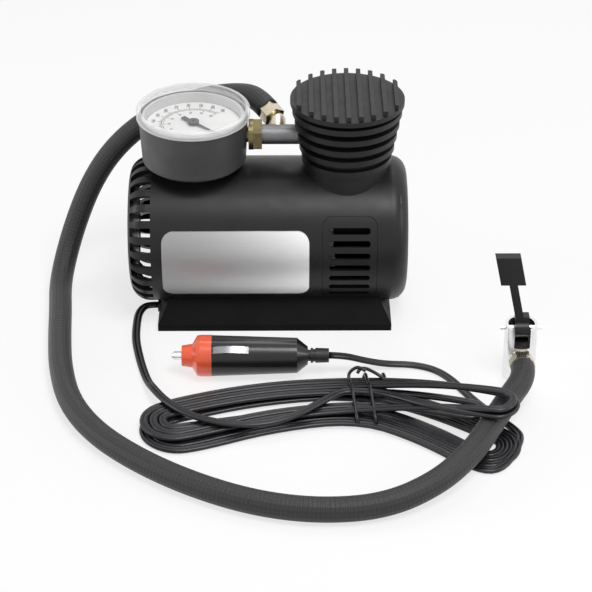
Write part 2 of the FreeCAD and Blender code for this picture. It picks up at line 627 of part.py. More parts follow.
# Foot: a low pyramid whose top is a saddle under the barrel
foot_wedge = bind_all(
    doc.addObject("Part::Wedge", "foot_wedge"), Xmin="0", Xmax="foot_length", Ymin="0", Ymax="foot_rise",
    Zmin="0", Zmax="foot_depth", X2min="foot_end_slope", X2max="foot_length - foot_end_slope",
    Z2min="foot_front_slope", Z2max="foot_depth - foot_front_slope")
place(foot_wedge, ("foot_left", "foot_depth / 2", "foot_rim"), Rotation(X_AXIS, 90))
foot_rim = block("foot_rim_block", ("foot_left", "-foot_depth / 2", "0"),
                 ("foot_length", "foot_depth", "foot_rim"))
foot_tools = [
    rod("foot_saddle", "housing_radius + seat_gap", "housing_length", ("housing_left", "0", "axis_z"),
        X_AXIS),
    block("foot_recess_block",
          ("foot_left + foot_recess_inset", "-foot_depth / 2 + foot_recess_inset", "-1"),
          ("foot_length - 2 * foot_recess_inset", "foot_depth - 2 * foot_recess_inset", "1 + foot_recess")),
    block("foot_gland_notch", ("foot_left - 1", "gland_y - gland_width / 2 - fit_gap", "-1"),
          ("gland_length + 1 + fit_gap", "gland_width + 2 * fit_gap",
           "gland_height + floor_gap + 1 + fit_gap")),
]
foot_tools += [rod(f"foot_screw_hole_{i}", "foot_screw_radius + fit_gap", "foot_rise",
                   (foot_screw_x(i), "0", "0")) for i in range(2)]
keep(cut("foot_cut", fuse("foot_blank", foot_rim, foot_wedge), *foot_tools), "foot")

for i in range(2):
    seat = "floor_gap + 0.2"
    head = rod(f"foot_screw_head_{i}", "foot_screw_head", "foot_recess - 0.4", (foot_screw_x(i), "0", seat))
    shank = rod(f"foot_screw_shank_{i}", "foot_screw_radius", "foot_screw_length",
                (foot_screw_x(i), "0", seat))
    screws.append(fuse(f"foot_screw_{i}", head, shank))

# Gear frame: a cast plate across the barrel, with the crank's boss and the cylinder's flange
frame_plate = common(
    "frame_plate",
    block("frame_plate_block", ("frame_left", "-frame_half_width", "frame_bottom"),
          ("frame_thick", "2 * frame_half_width", "flange_top - frame_bottom")),
    rod("frame_plate_disc", "inner_radius - fit_gap", "frame_thick", ("frame_left", "0", "axis_z"), X_AXIS))
frame_flange = common(
    "frame_flange",
    block("frame_flange_block", ("frame_left", "-flange_half_width", "flange_top - flange_thick"),
          ("flange_right - frame_left", "2 * flange_half_width", "flange_thick")),
    rod("frame_flange_disc", "inner_radius - fit_gap", "flange_right - frame_left",
        ("frame_left", "0", "axis_z"), X_AXIS))
frame_webs = [block(f"frame_web_{i}", ("frame_left", y, "flange_top - flange_thick - web_depth"),
                    ("web_length", "web_thick", "web_depth"))
              for i, y in enumerate(("-flange_half_width", "flange_half_width - web_thick"))]
frame_boss = rod("frame_crank_boss", "crank_boss_radius", "frame_left - crank_boss_left + frame_thick",
                 ("crank_boss_left", "0", "crank_z"), X_AXIS)
frame_tools = [
    rod("frame_crank_bore", "crank_bush_radius", "30", ("crank_boss_left - 1", "0", "crank_z"), X_AXIS),
    rod("frame_motor_bore", "motor_boss_radius + fit_gap", "frame_thick + 2",
        ("frame_left - 1", "0", "motor_z"), X_AXIS),
    rod("frame_cylinder_bore", "bore_radius", "flange_thick + 2",
        ("head_x", "0", "flange_top - flange_thick - 1")),
]


def around_head(index, name, radius, length, low):
    """One of four uprights on the head screws' circle."""
    angle = 45 + 90 * index
    return rod(name, radius, length, (f"head_x + head_screw_circle * cos({angle})",
                                      f"head_screw_circle * sin({angle})", low))


def beside_motor(index, name, radius, length, left):
    side = 2 * index - 1
    return rod(name, radius, length, (left, f"{side} * motor_screw_pitch", "motor_z"), X_AXIS)


frame_tools += [around_head(i, f"frame_head_hole_{i}", "head_screw_radius + fit_gap", "flange_thick + 2",
                            "flange_top - flange_thick - 1") for i in range(4)]
frame_tools += [beside_motor(i, f"frame_motor_hole_{i}", "motor_screw_radius + fit_gap", "frame_thick + 2",
                             "frame_left - 1") for i in range(2)]
keep(cut("frame_cut", fuse("frame_blank", frame_plate, frame_flange, frame_boss, *frame_webs), *frame_tools),
     "gear_frame")

bushes = [tube("crank_bush_ring", "crank_bush_radius", "crank_shaft_radius + shaft_gap",
               "frame_left + frame_thick - crank_boss_left", ("crank_boss_left", "0", "crank_z"), X_AXIS)]

# Motor: a drawn can with its magnets, a cap with the brushes, and the armature between them
can_blank = fuse(
    "can_blank",
    rod("can_bar", "motor_radius", "motor_length - motor_cap_length",
        ("motor_left + motor_cap_length", "0", "motor_z"), X_AXIS),
    rod("can_boss", "motor_boss_radius", "motor_boss_length", ("motor_right", "0", "motor_z"), X_AXIS))
can_tools = [
    rod("can_room", "motor_inner", "motor_length - motor_cap_length - motor_wall",
        ("motor_left + motor_cap_length", "0", "motor_z"), X_AXIS),
    rod("can_bush_seat", "bush_radius", "motor_wall + motor_boss_length + 1",
        ("motor_right - motor_wall", "0", "motor_z"), X_AXIS),
]
can_tools += [beside_motor(i, f"can_screw_hole_{i}", "motor_screw_radius", "motor_wall + 2",
                           "motor_right - motor_wall - 1") for i in range(2)]
keep(cut("can_cut", can_blank, *can_tools), "motor_can")

# The cap's inner ring guides the brushes
MOTOR_AT = ("motor_left", "0", "motor_z")
cap_bar = rod("cap_bar", "motor_radius", "motor_cap_length", MOTOR_AT, X_AXIS)
cap_room = rod("cap_room", "motor_inner - motor_wall", "motor_cap_length - motor_cap_floor",
               ("motor_left + motor_cap_floor", "0", "motor_z"), X_AXIS)
cap_bush_seat = rod("cap_bush_seat", "bush_radius", "motor_cap_floor", MOTOR_AT, X_AXIS)
brush_ring = tube("cap_brush_ring", "motor_inner - fit_gap", "commutator_radius + brush_ring_gap",
                  "brush_width + 2 * brush_inset", ("motor_left + motor_cap_length", "0", "motor_z"), X_AXIS)
cap_blank = fuse("cap_blank", cut("cap_shell", cap_bar, cap_room, cap_bush_seat), brush_ring)
BRUSH_LEFT = "motor_left + motor_cap_length + brush_inset"
BRUSH_END = "(motor_inner - motor_wall)"
brush_room = block("brush_room", (BRUSH_LEFT + " - fit_gap", f"-{BRUSH_END} - fit_gap",
                                  "motor_z - brush_width / 2 - fit_gap"),
                   ("brush_width + 2 * fit_gap", f"2 * ({BRUSH_END} + fit_gap)",
                    "brush_width + 2 * fit_gap"))
keep(cut("cap_cut", cap_blank, brush_room), "motor_end_cap")

for i, left in enumerate(("motor_left", "motor_right - motor_wall")):
    length = "motor_wall + motor_boss_length" if i else "motor_cap_floor"
    bushes.append(tube(f"motor_bush_{i}", "bush_radius", "shaft_radius + shaft_gap", length,
                       (left, "0", "motor_z"), X_AXIS))
group(bushes, "shaft_bushes")

magnets = []
for i, side in enumerate((-1, 1)):
    ring = tube(f"magnet_ring_{i}", "motor_inner", "motor_inner - magnet_thick", "magnet_length",
                ("magnet_left", "0", "motor_z"), X_AXIS)
    low = "-motor_radius" if side < 0 else "motor_inner * cos(magnet_angle / 2)"
    slab = block(f"magnet_slab_{i}", ("magnet_left", low, "motor_z - motor_radius"),
                 ("magnet_length", "motor_radius - motor_inner * cos(magnet_angle / 2)", "2 * motor_radius"))
    magnets.append(common(f"magnet_{i}", ring, slab))
group(magnets, "motor_magnets")

brushes = []
for i, side in enumerate((-1, 1)):
    low = f"-{BRUSH_END}" if side < 0 else "commutator_radius + brush_gap"
    brushes.append(block(f"brush_{i}", (BRUSH_LEFT, low, "motor_z - brush_width / 2"),
                         ("brush_width", f"{BRUSH_END} - commutator_radius - brush_gap", "brush_width")))
group(brushes, "motor_brushes")

keep(rod("motor_shaft_bar", "shaft_radius", "shaft_right - shaft_left", ("shaft_left", "0", "motor_z"),
         X_AXIS), "motor_shaft")

core_slots = []
for pole in range(int(SIZES["armature_poles"])):
    angle = 90 + 360 * pole / SIZES["armature_poles"]
    slot = block(f"armature_slot_{pole}", ("armature_left - 1", "0", "motor_z"),
                 ("armature_length + 2", "armature_radius * 1.2", "armature_slot"))
    slot.Placement = Placement(slot.Placement.Base, Rotation(X_AXIS, angle))
    out, across = f"armature_core_radius * {{}}({angle})", f"armature_slot / 2 * {{}}({angle})"
    slot.setExpression("Placement.Base.y", bind(f"{out.format('cos')} + {across.format('sin')}"))
    slot.setExpression("Placement.Base.z", bind(f"motor_z + {out.format('sin')} - {across.format('cos')}"))
    core_slots.append(slot)
core_slots.append(rod("armature_bore", "shaft_radius", "armature_length + 2",
                      ("armature_left - 1", "0", "motor_z"), X_AXIS))
armature_bar = rod("armature_bar", "armature_radius", "armature_length", ("armature_left", "0", "motor_z"),
                   X_AXIS)
keep(cut("armature_core_cut", armature_bar, *core_slots), "armature_core")
winding_lefts = ("armature_left - winding_overhang", "armature_left + armature_length")
windings = [tube(f"winding_{i}", "winding_radius", "shaft_radius + winding_gap", "winding_overhang",
                 (left, "0", "motor_z"), X_AXIS) for i, left in enumerate(winding_lefts)]
windings.append(tube("commutator_ring", "commutator_radius", "shaft_radius", "commutator_length",
                     ("commutator_left", "0", "motor_z"), X_AXIS))
group(windings, "armature_copper")

for i in range(2):
    shank = beside_motor(i, f"motor_screw_shank_{i}", "motor_screw_radius", "frame_thick + 1",
                         "frame_left - 1")
    head = beside_motor(i, f"motor_screw_head_{i}", "motor_screw_head", "motor_screw_head_depth",
                        "frame_left + frame_thick")
    screws.append(fuse(f"motor_screw_{i}", shank, head))

# Gears. The wheels are drawn flat and stood up so that their axis is X and their own Y points up.
UPRIGHT = Rotation(Vector(1, 1, 1), 120)
pinion_wheel = toothed_wheel(number("gear_module"), int(number("pinion_teeth")), number("pinion_addendum"),
                             number("tooth_root"), number("tooth_slack"), number("pinion_face"), math.pi / 2)
pinion_wheel = pinion_wheel.cut(Part.makeCylinder(number("shaft_radius"), number("pinion_face")))
keep(solid("pinion_wheel", pinion_wheel, ("pinion_left", "0", "motor_z"), UPRIGHT), "drive_pinion")

gear_teeth = int(number("gear_teeth"))
gear_wheel = toothed_wheel(number("gear_module"), gear_teeth, number("gear_addendum"), number("tooth_root"),
                           number("tooth_slack"), number("gear_face"), -math.pi / 2 + math.pi / gear_teeth)
gear_wheel = gear_wheel.cut(Part.makeCylinder(number("crank_shaft_radius"), number("gear_face")))
window_circle = (number("gear_module") * gear_teeth / 2 + number("crank_shaft_radius")) / 2
for hole in range(int(SIZES["gear_window_count"])):
    window = Part.makeCylinder(number("gear_window_radius"), number("gear_face"))
    angle = math.radians(number("gear_window_first") + hole * number("gear_window_pitch"))
    window.translate(Vector(window_circle * math.cos(angle), window_circle * math.sin(angle), 0))
    gear_wheel = gear_wheel.cut(window)
keep(solid("crank_wheel", gear_wheel, ("gear_left", "0", "crank_z"), UPRIGHT), "crank_gear")
crank_shaft = fuse(
    "crank_shaft_turned",
    rod("crank_shaft_bar", "crank_shaft_radius", "gear_left + gear_face - crank_shaft_left",
        ("crank_shaft_left", "0", "crank_z"), X_AXIS),
    rod("crank_shaft_shoulder", "crank_shoulder_radius",
        "gear_left - frame_left - frame_thick - crank_shoulder_gap",
        ("frame_left + frame_thick + crank_shoulder_gap", "0", "crank_z"), X_AXIS))
keep(crank_shaft, "crank_shaft")

# Rod and piston. Both pins are pressed in the rod; the crank pin stops just short of the gear's face.
pin_left = "gear_left + gear_face + crank_pin_gap"
rod_pins = [
    rod("crank_pin_bar", "crank_pin_radius", f"crank_pin_end - ({pin_left})", (pin_left, "0", "pin_z"),
        X_AXIS),
    rod("wrist_pin_bar", "wrist_pin_radius", "wrist_pin_length",
        ("head_x - wrist_pin_length / 2", "0", "wrist_z"), X_AXIS)]
group(rod_pins, "rod_pins")
ROD_LEFT = "head_x - rod_thick / 2"
rod_blank = fuse(
    "rod_blank",
    rod("rod_low_eye", "rod_eye_radius", "rod_thick", (ROD_LEFT, "0", "pin_z"), X_AXIS),
    rod("rod_high_eye", "wrist_eye_radius", "rod_thick", (ROD_LEFT, "0", "wrist_z"), X_AXIS),
    block("rod_shank", (ROD_LEFT, "-rod_width / 2", "pin_z"), ("rod_thick", "rod_width", "rod_length")))
rod_tools = [
    rod("rod_low_bore", "crank_pin_radius", "rod_thick + 2", (ROD_LEFT + " - 1", "0", "pin_z"), X_AXIS),
    rod("rod_high_bore", "wrist_pin_radius", "rod_thick + 2", (ROD_LEFT + " - 1", "0", "wrist_z"), X_AXIS),
]
keep(cut("rod_cut", rod_blank, *rod_tools), "connecting_rod")

piston_radius = "bore_radius - piston_gap"
piston_low = "piston_top - piston_height"
piston_blank = rod("piston_bar", piston_radius, "piston_height", ("head_x", "0", piston_low))
piston_room = rod("piston_room", "piston_skirt_radius", "piston_height - piston_head + 1",
                  ("head_x", "0", piston_low + " - 1"))
boss_starts = ("head_x - piston_skirt_radius", "head_x + rod_thick / 2 + wrist_side_gap")
piston_bosses = [rod(f"piston_boss_{i}", "wrist_boss_radius",
                     "piston_skirt_radius - rod_thick / 2 - wrist_side_gap", (x, "0", "wrist_z"), X_AXIS)
                 for i, x in enumerate(boss_starts)]
piston_groove = tube("piston_groove", "bore_radius + 1", "bore_radius - ring_depth - piston_gap",
                     "ring_height", ("head_x", "0", "piston_top - ring_drop - ring_height"))
piston_solid = fuse("piston_with_bosses", cut("piston_hollow", piston_blank, piston_room), *piston_bosses)
piston_pin_bore = rod("piston_pin_bore", "wrist_pin_radius + pin_gap", "wrist_pin_length + 2 * pin_gap",
                      ("head_x - wrist_pin_length / 2 - pin_gap", "0", "wrist_z"), X_AXIS)
keep(cut("piston_cut", piston_solid, piston_groove, piston_pin_bore), "piston")
keep(tube("piston_ring_tube", "bore_radius - ring_bore_gap",
          "bore_radius - ring_depth - piston_gap + ring_gap", "ring_height - 2 * ring_gap",
          ("head_x", "0", "piston_top - ring_drop - ring_height + ring_gap")), "piston_ring")

keep(tube("sleeve_tube", "sleeve_radius", "bore_radius", "sleeve_top - flange_top",
          ("head_x", "0", "flange_top")), "cylinder_sleeve")
keep(tube("gasket_ring", "sleeve_radius", "bore_radius", "gasket_thick", ("head_x", "0", "sleeve_top")),
     "head_gasket")
valve_ports = [rod(f"valve_port_{i}", "port_radius", "valve_plate_thick + 2", (x, "0", "gasket_top - 1"))
               for i, x in enumerate(("head_x - port_spread", "head_x + port_spread"))]
keep(cut("valve_plate_cut", rod("valve_plate_disc", "sleeve_radius", "valve_plate_thick",
                                ("head_x", "0", "gasket_top")), *valve_ports), "valve_plate")
keep(block("reed_strip", ("head_x - port_spread - reed_width / 2", "-reed_length / 2", "valve_z"),
           ("reed_width", "reed_length", "reed_thick")), "reed_valve")

# Finned head: one turned casting with five fins, a ridged top and a saddle on the barrel
CORE_TOP = "top_z - top_thick"
fin_stations = []
for i in reversed(range(int(SIZES["fin_count"]))):
    fin_top = f"(fin_first_z - {i} * fin_pitch)"
    fin_radius = f"fin_top_radius - {i} * fin_step_in"
    fin_stations += [(f"{fin_top} - fin_thick", "core_radius"), (f"{fin_top} - fin_thick", fin_radius),
                     (fin_top, fin_radius), (fin_top, "core_radius")]
HEAD_SEAT = "axis_z + housing_radius + seat_gap"
head_casting = turned("head_casting", [
    ("flange_top", "0"), ("flange_top", "spigot_radius"), (HEAD_SEAT, "spigot_radius"),
    (HEAD_SEAT, "core_radius"), *fin_stations, (CORE_TOP, "core_radius"), (CORE_TOP, "top_radius"),
    ("top_z", "top_radius"), ("top_z", "0"),
], ("head_x", "0", "0"))
COLLAR_Z = "(axis_z + collar_rise)"
collar_bar = rod("collar_bar", "collar_radius", f"fin_first_z - (fin_count - 1) * fin_pitch - {COLLAR_Z}",
                 ("head_x", "0", COLLAR_Z))
collar_saddle = rod("collar_saddle", "housing_radius + seat_gap", "4 * collar_radius",
                    ("head_x - 2 * collar_radius", "0", "axis_z"), X_AXIS)
collar = cut("head_collar", collar_bar, collar_saddle)
ridges = []
middle_ridge = (int(SIZES["ridge_count"]) - 1) / 2
for i in range(int(SIZES["ridge_count"])):
    shift = f"({i - middle_ridge} * ridge_pitch)"
    half = f"sqrt(top_radius ^ 2 - {shift} ^ 2)"
    ridges.append(block(f"ridge_{i}", (f"head_x + {shift} - ridge_width / 2", f"-({half}) + 1", "top_z - 1"),
                        ("ridge_width", f"2 * {half} - 1", "ridge_height + 1")))
ridge_trim = rod("ridge_trim", "top_radius", "ridge_height + 2", ("head_x", "0", "top_z - 1"))
head_tools = [
    rod("head_sleeve_room", "sleeve_radius", "valve_z - flange_top + 1", ("head_x", "0", "flange_top - 1")),
    rod("head_chamber", "chamber_radius", "chamber_height", ("head_x", "0", "valve_z")),
    rod("head_tube_room", "tube_radius", "core_radius - tube_seat + 20",
        ("head_x - core_radius - 20", "0", "tube_z"), X_AXIS),
    rod("head_outlet", "tube_bore", "tube_seat", ("head_x - tube_seat", "0", "tube_z"), X_AXIS),
]
head_tools += [around_head(i, f"head_screw_hole_{i}", "head_screw_radius", "head_screw_length",
                           "flange_top - 1") for i in range(4)]
head_ridges = common("head_ridges", fuse("ridge_set", *ridges), ridge_trim)
keep(cut("head_cut", fuse("head_blank", head_casting, collar, head_ridges), *head_tools), "cylinder_head")
for i in range(4):
    head_low = "flange_top - flange_thick - head_screw_head_depth"
    shank = around_head(i, f"head_screw_shank_{i}", "head_screw_radius", "head_screw_length", head_low)
    head = around_head(i, f"head_screw_head_{i}", "head_screw_head", "head_screw_head_depth", head_low)
    screws.append(fuse(f"head_screw_{i}", shank, head))
group(screws, "screws")

# Outlet tube, with the gauge's stem in its end and the hose's elbow on its back
tube_blank = rod("outlet_bar", "tube_radius", "head_x - tube_seat - tube_left", ("tube_left", "0", "tube_z"),
                 X_AXIS)
ELBOW = Vector(0, math.cos(math.radians(SIZES["elbow_rise"])), math.sin(math.radians(SIZES["elbow_rise"])))
outlet_tools = [
    rod("outlet_bore", "tube_bore", "head_x", ("tube_left + stem_in_tube", "0", "tube_z"), X_AXIS),
    rod("outlet_socket", "stem_radius", "stem_in_tube", ("tube_left", "0", "tube_z"), X_AXIS),
    rod("outlet_port", "elbow_port_radius", "2 * tube_radius", ("elbow_x", "0", "tube_z"), ELBOW),
]
keep(cut("outlet_cut", tube_blank, *outlet_tools), "outlet_tube")


def along_elbow(distance):
    """A point on the elbow's own axis, at a distance from the tube's."""
    return ("elbow_x", f"{distance} * cos(elbow_rise)", f"tube_z + {distance} * sin(elbow_rise)")


elbow_end = along_elbow("elbow_reach")
elbow_bar = rod("elbow_bar", "elbow_bar_radius", "elbow_reach - elbow_bar_start",
                along_elbow("elbow_bar_start"), ELBOW)
elbow_collar_bar = rod("elbow_collar_bar", "elbow_radius", "elbow_reach", ("elbow_x", "0", "tube_z"), ELBOW)
elbow_collar_room = rod("elbow_collar_room", "tube_radius + seat_gap", "60", ("elbow_x - 30", "0", "tube_z"),
                        X_AXIS)
elbow_collar = cut("elbow_collar", elbow_collar_bar, elbow_collar_room)
HOSE_OUT = Vector(-0.50, 0.82, 0.25).normalize()


def along_hose(distance):
    """A point on the hose nut's axis, at a distance from the elbow's middle."""
    return tuple(f"{base} + ({distance}) * {part:.6f}" for base, part in zip(elbow_end, HOSE_OUT))


elbow_spout = rod("elbow_spout", "spout_radius", "hose_nut_start + hose_nut_length", elbow_end, HOSE_OUT)
elbow_ball = ball("elbow_ball", "elbow_radius", elbow_end)
keep(fuse("elbow_solid", elbow_bar, elbow_collar, elbow_ball, elbow_spout), "hose_elbow")
nut_hex = hexagon("hose_nut_hex", "hose_nut_radius", "hose_nut_length", along_hose("hose_nut_start"),
                  HOSE_OUT)
nut_room = fuse("hose_nut_room", ball("hose_nut_room_ball", "elbow_radius + seat_gap", elbow_end),
                rod("hose_nut_room_bar", "spout_radius", "30", elbow_end, HOSE_OUT))
keep(cut("hose_nut_cut", nut_hex, nut_room), "hose_nut")

STEM_BLOCK_LEFT = "gauge_x + bourdon_radius - stem_block_shift"
stem_blank = fuse(
    "stem_blank",
    rod("stem_bar", "stem_radius", "tube_left + stem_in_tube - gauge_x - bourdon_radius",
        ("gauge_x + bourdon_radius", "0", "tube_z"), X_AXIS),
    block("stem_block_box", (STEM_BLOCK_LEFT, "-stem_block / 2", "tube_z - stem_block / 2"),
          ("stem_block", "stem_block", "stem_block")))
stem_hole = rod("stem_bore_bar", "stem_bore", "60", ("gauge_x + bourdon_radius", "0", "tube_z"), X_AXIS)
keep(cut("stem_cut", stem_blank, stem_hole), "gauge_stem")
WASHER_AT = ("washer_left", "0", "tube_z")
nut_blank = fuse("gauge_nut_blank",
                 hexagon("gauge_nut_hex", "nut_radius", "nut_length", ("nut_left", "0", "tube_z"), X_AXIS),
                 rod("gauge_nut_collar", "washer_radius", "washer_length", WASHER_AT, X_AXIS))
nut_bore = rod("gauge_nut_bore", "stem_radius", "washer_length + nut_length", WASHER_AT, X_AXIS)
keep(cut("gauge_nut_cut", nut_blank, nut_bore), "gauge_nut")

# Pressure gauge. Its own frame stands in the middle of its floor, and leans a little to the front.
TILT = Rotation(X_AXIS, SIZES["gauge_tilt"])
GAUGE_UP = TILT.multVec(Z_AXIS)
GAUGE_AT = ("gauge_x", "gauge_y", "gauge_z")


def in_gauge(x, y, height):
    """A point given in the gauge's own tilted frame."""
    return (f"gauge_x + {x}", f"gauge_y + ({y}) * cos(gauge_tilt) - ({height}) * sin(gauge_tilt)",
            f"gauge_z + ({y}) * sin(gauge_tilt) + ({height}) * cos(gauge_tilt)")


def gauge_rod(name, radius, length, x, y, height):
    return rod(name, radius, length, in_gauge(x, y, height), GAUGE_UP)


case_shell = turned("gauge_shell", [
    ("0", "0"), ("0", "gauge_foot_radius - gauge_wall"), ("gauge_wall", "gauge_foot_radius"),
    ("gauge_case_height", "gauge_mouth_radius"), ("gauge_case_height", "gauge_mouth_radius - gauge_wall"),
    ("gauge_ledge_height", "gauge_mouth_radius - gauge_wall"), ("gauge_ledge_height", "gauge_ledge_inner"),
    ("gauge_ledge_height - gauge_ledge_thick", "gauge_ledge_inner"),
    ("gauge_ledge_height - gauge_ledge_thick", "gauge_foot_radius - gauge_wall"),
    ("gauge_floor", "gauge_foot_radius - gauge_wall"), ("gauge_floor", "0"),
], GAUGE_AT, GAUGE_UP)
case_stem_hole = rod("gauge_stem_hole", "stem_radius", "2 * gauge_wall + 10",
                     ("gauge_x + gauge_foot_radius - gauge_wall - 5", "0", "tube_z"), X_AXIS)
keep(cut("gauge_case_cut", case_shell, case_stem_hole), "gauge_case")
LENS_TOP = "gauge_case_height + lens_height"
keep(turned("lens_turned", [
    ("gauge_case_height", "lens_radius - lens_skirt"), ("gauge_case_height", "lens_radius"),
    (LENS_TOP + " - 0.6", "lens_radius"), (LENS_TOP, "lens_radius - 0.6"), (LENS_TOP, "0"),
    (LENS_TOP + " - lens_thick", "0"), (LENS_TOP + " - lens_thick", "lens_radius - lens_skirt"),
], GAUGE_AT, GAUGE_UP), "gauge_lens")
dial_disc = gauge_rod("dial_disc", "dial_radius", "dial_thick", "0", "0", "dial_z")
dial_hole = gauge_rod("dial_hole", "spindle_radius + spindle_dial_gap", "dial_thick + 2", "0", "0",
                      "dial_z - 1")
keep(cut("dial_cut", dial_disc, dial_hole), "dial_face")

NEEDLE_Z = "dial_z + dial_thick + needle_lift"
tip, tail = number("needle_tip"), number("needle_tail")
half, tail_half = number("needle_half_width"), number("needle_tail_half_width")
needle_outline = [Vector(-tail, -tail_half, 0), Vector(0, -half, 0), Vector(tip, -half / 6, 0),
                  Vector(tip, half / 6, 0), Vector(0, half, 0), Vector(-tail, tail_half, 0)]
needle_blade = Part.Face(Part.makePolygon(needle_outline + needle_outline[:1]))
needle_blade = needle_blade.extrude(Vector(0, 0, number("needle_thick")))
blade = solid("needle_blade", needle_blade, in_gauge("0", "0", NEEDLE_Z),
              TILT * Rotation(Z_AXIS, SIZES["needle_start"]))
hub = gauge_rod("needle_hub", "needle_hub_radius", "needle_hub_height", "0", "0",
                NEEDLE_Z + " - needle_hub_drop")
needle_bore = gauge_rod("needle_bore", "spindle_radius", "10", "0", "0", NEEDLE_Z + " - 5")
keep(cut("needle_cut", fuse("needle_blank", blade, hub), needle_bore), "needle")
spindle_bar = gauge_rod("spindle_bar", "spindle_radius", f"{NEEDLE_Z} + needle_thick - movement_low + 1",
                        "0", "0", "movement_low - 1")

needle_teeth = int(number("needle_pinion_teeth"))
needle_wheel = toothed_wheel(number("sector_module"), needle_teeth, number("needle_pinion_addendum"),
                             number("movement_tooth_root"), number("movement_tooth_slack"),
                             number("sector_thick + 2 * needle_pinion_overlap"), math.pi)
needle_pinion = solid("needle_wheel", needle_wheel,
                      in_gauge("0", "0", "sector_height - needle_pinion_overlap"), TILT)
keep(fuse("spindle_blank", spindle_bar, needle_pinion), "needle_spindle")
sector_teeth = int(number("sector_teeth"))
sector_wheel = toothed_wheel(number("sector_module"), sector_teeth, number("sector_addendum"),
                             number("movement_tooth_root"), number("movement_tooth_slack"),
                             number("sector_thick"), math.pi / sector_teeth)
low, high = (math.radians(number("sector_rest") + side * number("sector_half_angle")) for side in (-1, 1))
wedge_reach = number("sector_module * sector_teeth")
wedge_corners = [Vector(0, 0, 0)]
for step in range(5):
    angle = low + (high - low) * step / 4
    wedge_corners.append(Vector(wedge_reach * math.cos(angle), wedge_reach * math.sin(angle), 0))
wedge = Part.Face(Part.makePolygon(wedge_corners + wedge_corners[:1]))
wedge = wedge.extrude(Vector(0, 0, number("sector_thick")))
arbor_length = number("movement_high + movement_plate - movement_low")
sector_arbor = Part.makeCylinder(number("arbor_radius"), arbor_length)
sector_arbor.translate(Vector(0, 0, number("movement_low - sector_height")))
sector_hub = Part.makeCylinder(number("sector_hub_radius"), number("sector_thick"))
sector_solid = sector_wheel.common(wedge).fuse([sector_hub, sector_arbor])
keep(solid("sector_shape", sector_solid, in_gauge("-(sector_distance)", "0", "sector_height"), TILT),
     "gauge_sector")

PILLARS = [(x, y) for x in ("movement_left + pillar_inset_left", "movement_right - pillar_inset")
           for y in ("-movement_half_width + pillar_inset", "movement_half_width - pillar_inset")]
plates = []
for i, height in enumerate(("movement_low", "movement_high")):
    plate = block(f"movement_plate_{i}", in_gauge("movement_left", "-movement_half_width", height),
                  ("movement_right - movement_left", "2 * movement_half_width", "movement_plate"))
    plate.Placement = Placement(plate.Placement.Base, TILT)
    plates.append(plate)
pillars = [gauge_rod(f"movement_pillar_{i}", "pillar_radius",
                     "movement_high - gauge_floor + movement_plate / 2", x, y, "gauge_floor")
           for i, (x, y) in enumerate(PILLARS)]
movement_tools = [
    gauge_rod("movement_spindle_hole", "spindle_radius + shaft_gap", "20", "0", "0", "gauge_floor + 1"),
    gauge_rod("movement_arbor_hole", "arbor_radius + shaft_gap", "20", "-(sector_distance)", "0",
              "gauge_floor + 1"),
]
keep(cut("movement_cut", fuse("movement_blank", *plates, *pillars), *movement_tools), "movement_frame")
bourdon_ring = bind_all(doc.addObject("Part::Torus", "bourdon_ring"), Radius1="bourdon_radius",
                        Radius2="bourdon_thick", Angle3="bourdon_angle")
place(bourdon_ring, in_gauge("0", "0", "bourdon_height"), TILT)
bourdon_room = block("bourdon_room", (STEM_BLOCK_LEFT, "-stem_block / 2", "tube_z - stem_block / 2"),
                     ("stem_block", "stem_block", "stem_block"))
keep(cut("bourdon_cut", bourdon_ring, bourdon_room), "bourdon_tube")

# Plug for the 12 V socket: distances along it are the part's own X
PLUG_AT = ("0", "plug_y", "plug_z")
SHOULDER_X = "(plug_nose_x + plug_nose_length)"
FLOOR_X = "(plug_nose_x + plug_nose_floor)"
FLANGE_X = f"{FLOOR_X} + plug_pin_gap"
FUSE_END = f"{SHOULDER_X} + fuse_length"
SPRING_LENGTH = "(spring_wire * (2.4 * spring_turns + 2))"
ROOM_END = f"({FUSE_END} + plug_pin_travel + {SPRING_LENGTH} + fit_gap)"
keep(turned("plug_cap_turned", [
    ("plug_nose_x", "plug_pin_radius + fit_gap"), ("plug_nose_x", "plug_nose_radius"),
    (SHOULDER_X, "plug_nose_radius + plug_nose_flare"),
    (f"{SHOULDER_X} + plug_cone_length", "plug_radius - plug_cone_drop"),
    (f"{SHOULDER_X} + plug_cone_length + plug_ring_length", "plug_radius"), ("plug_joint_x", "plug_radius"),
    ("plug_joint_x", "plug_thread_radius + plug_thread_gap"),
    ("plug_joint_x - plug_thread_length", "plug_thread_radius + plug_thread_gap"),
    ("plug_joint_x - plug_thread_length", "fuse_room"), (FLOOR_X, "fuse_room"),
    (FLOOR_X, "plug_pin_radius + fit_gap"),
], PLUG_AT, X_AXIS), "plug_cap")
THREAD_X = "plug_joint_x - plug_thread_length + plug_pin_gap"
BOOT_SEAT = "plug_cone_x - plug_boot_seat"
body_turned = turned("plug_body_turned", [
    (THREAD_X, "fuse_room"), (THREAD_X, "plug_thread_radius"), ("plug_joint_x", "plug_thread_radius"),
    ("plug_joint_x", "plug_body_radius"), ("plug_taper_x", "plug_rear_radius"),
    ("plug_cone_x", "plug_end_radius"), ("plug_cone_x", "boot_neck_radius"),
    (BOOT_SEAT, "boot_neck_radius"), (BOOT_SEAT, "plug_cord_bore"),
    (ROOM_END, "plug_cord_bore"), (ROOM_END, "fuse_room"),
], PLUG_AT, X_AXIS)


def plug_side(side):
    """The turn about the plug's axis that brings its own up to one contact's direction."""
    return SIZES["contact_angle"] + 180 * side


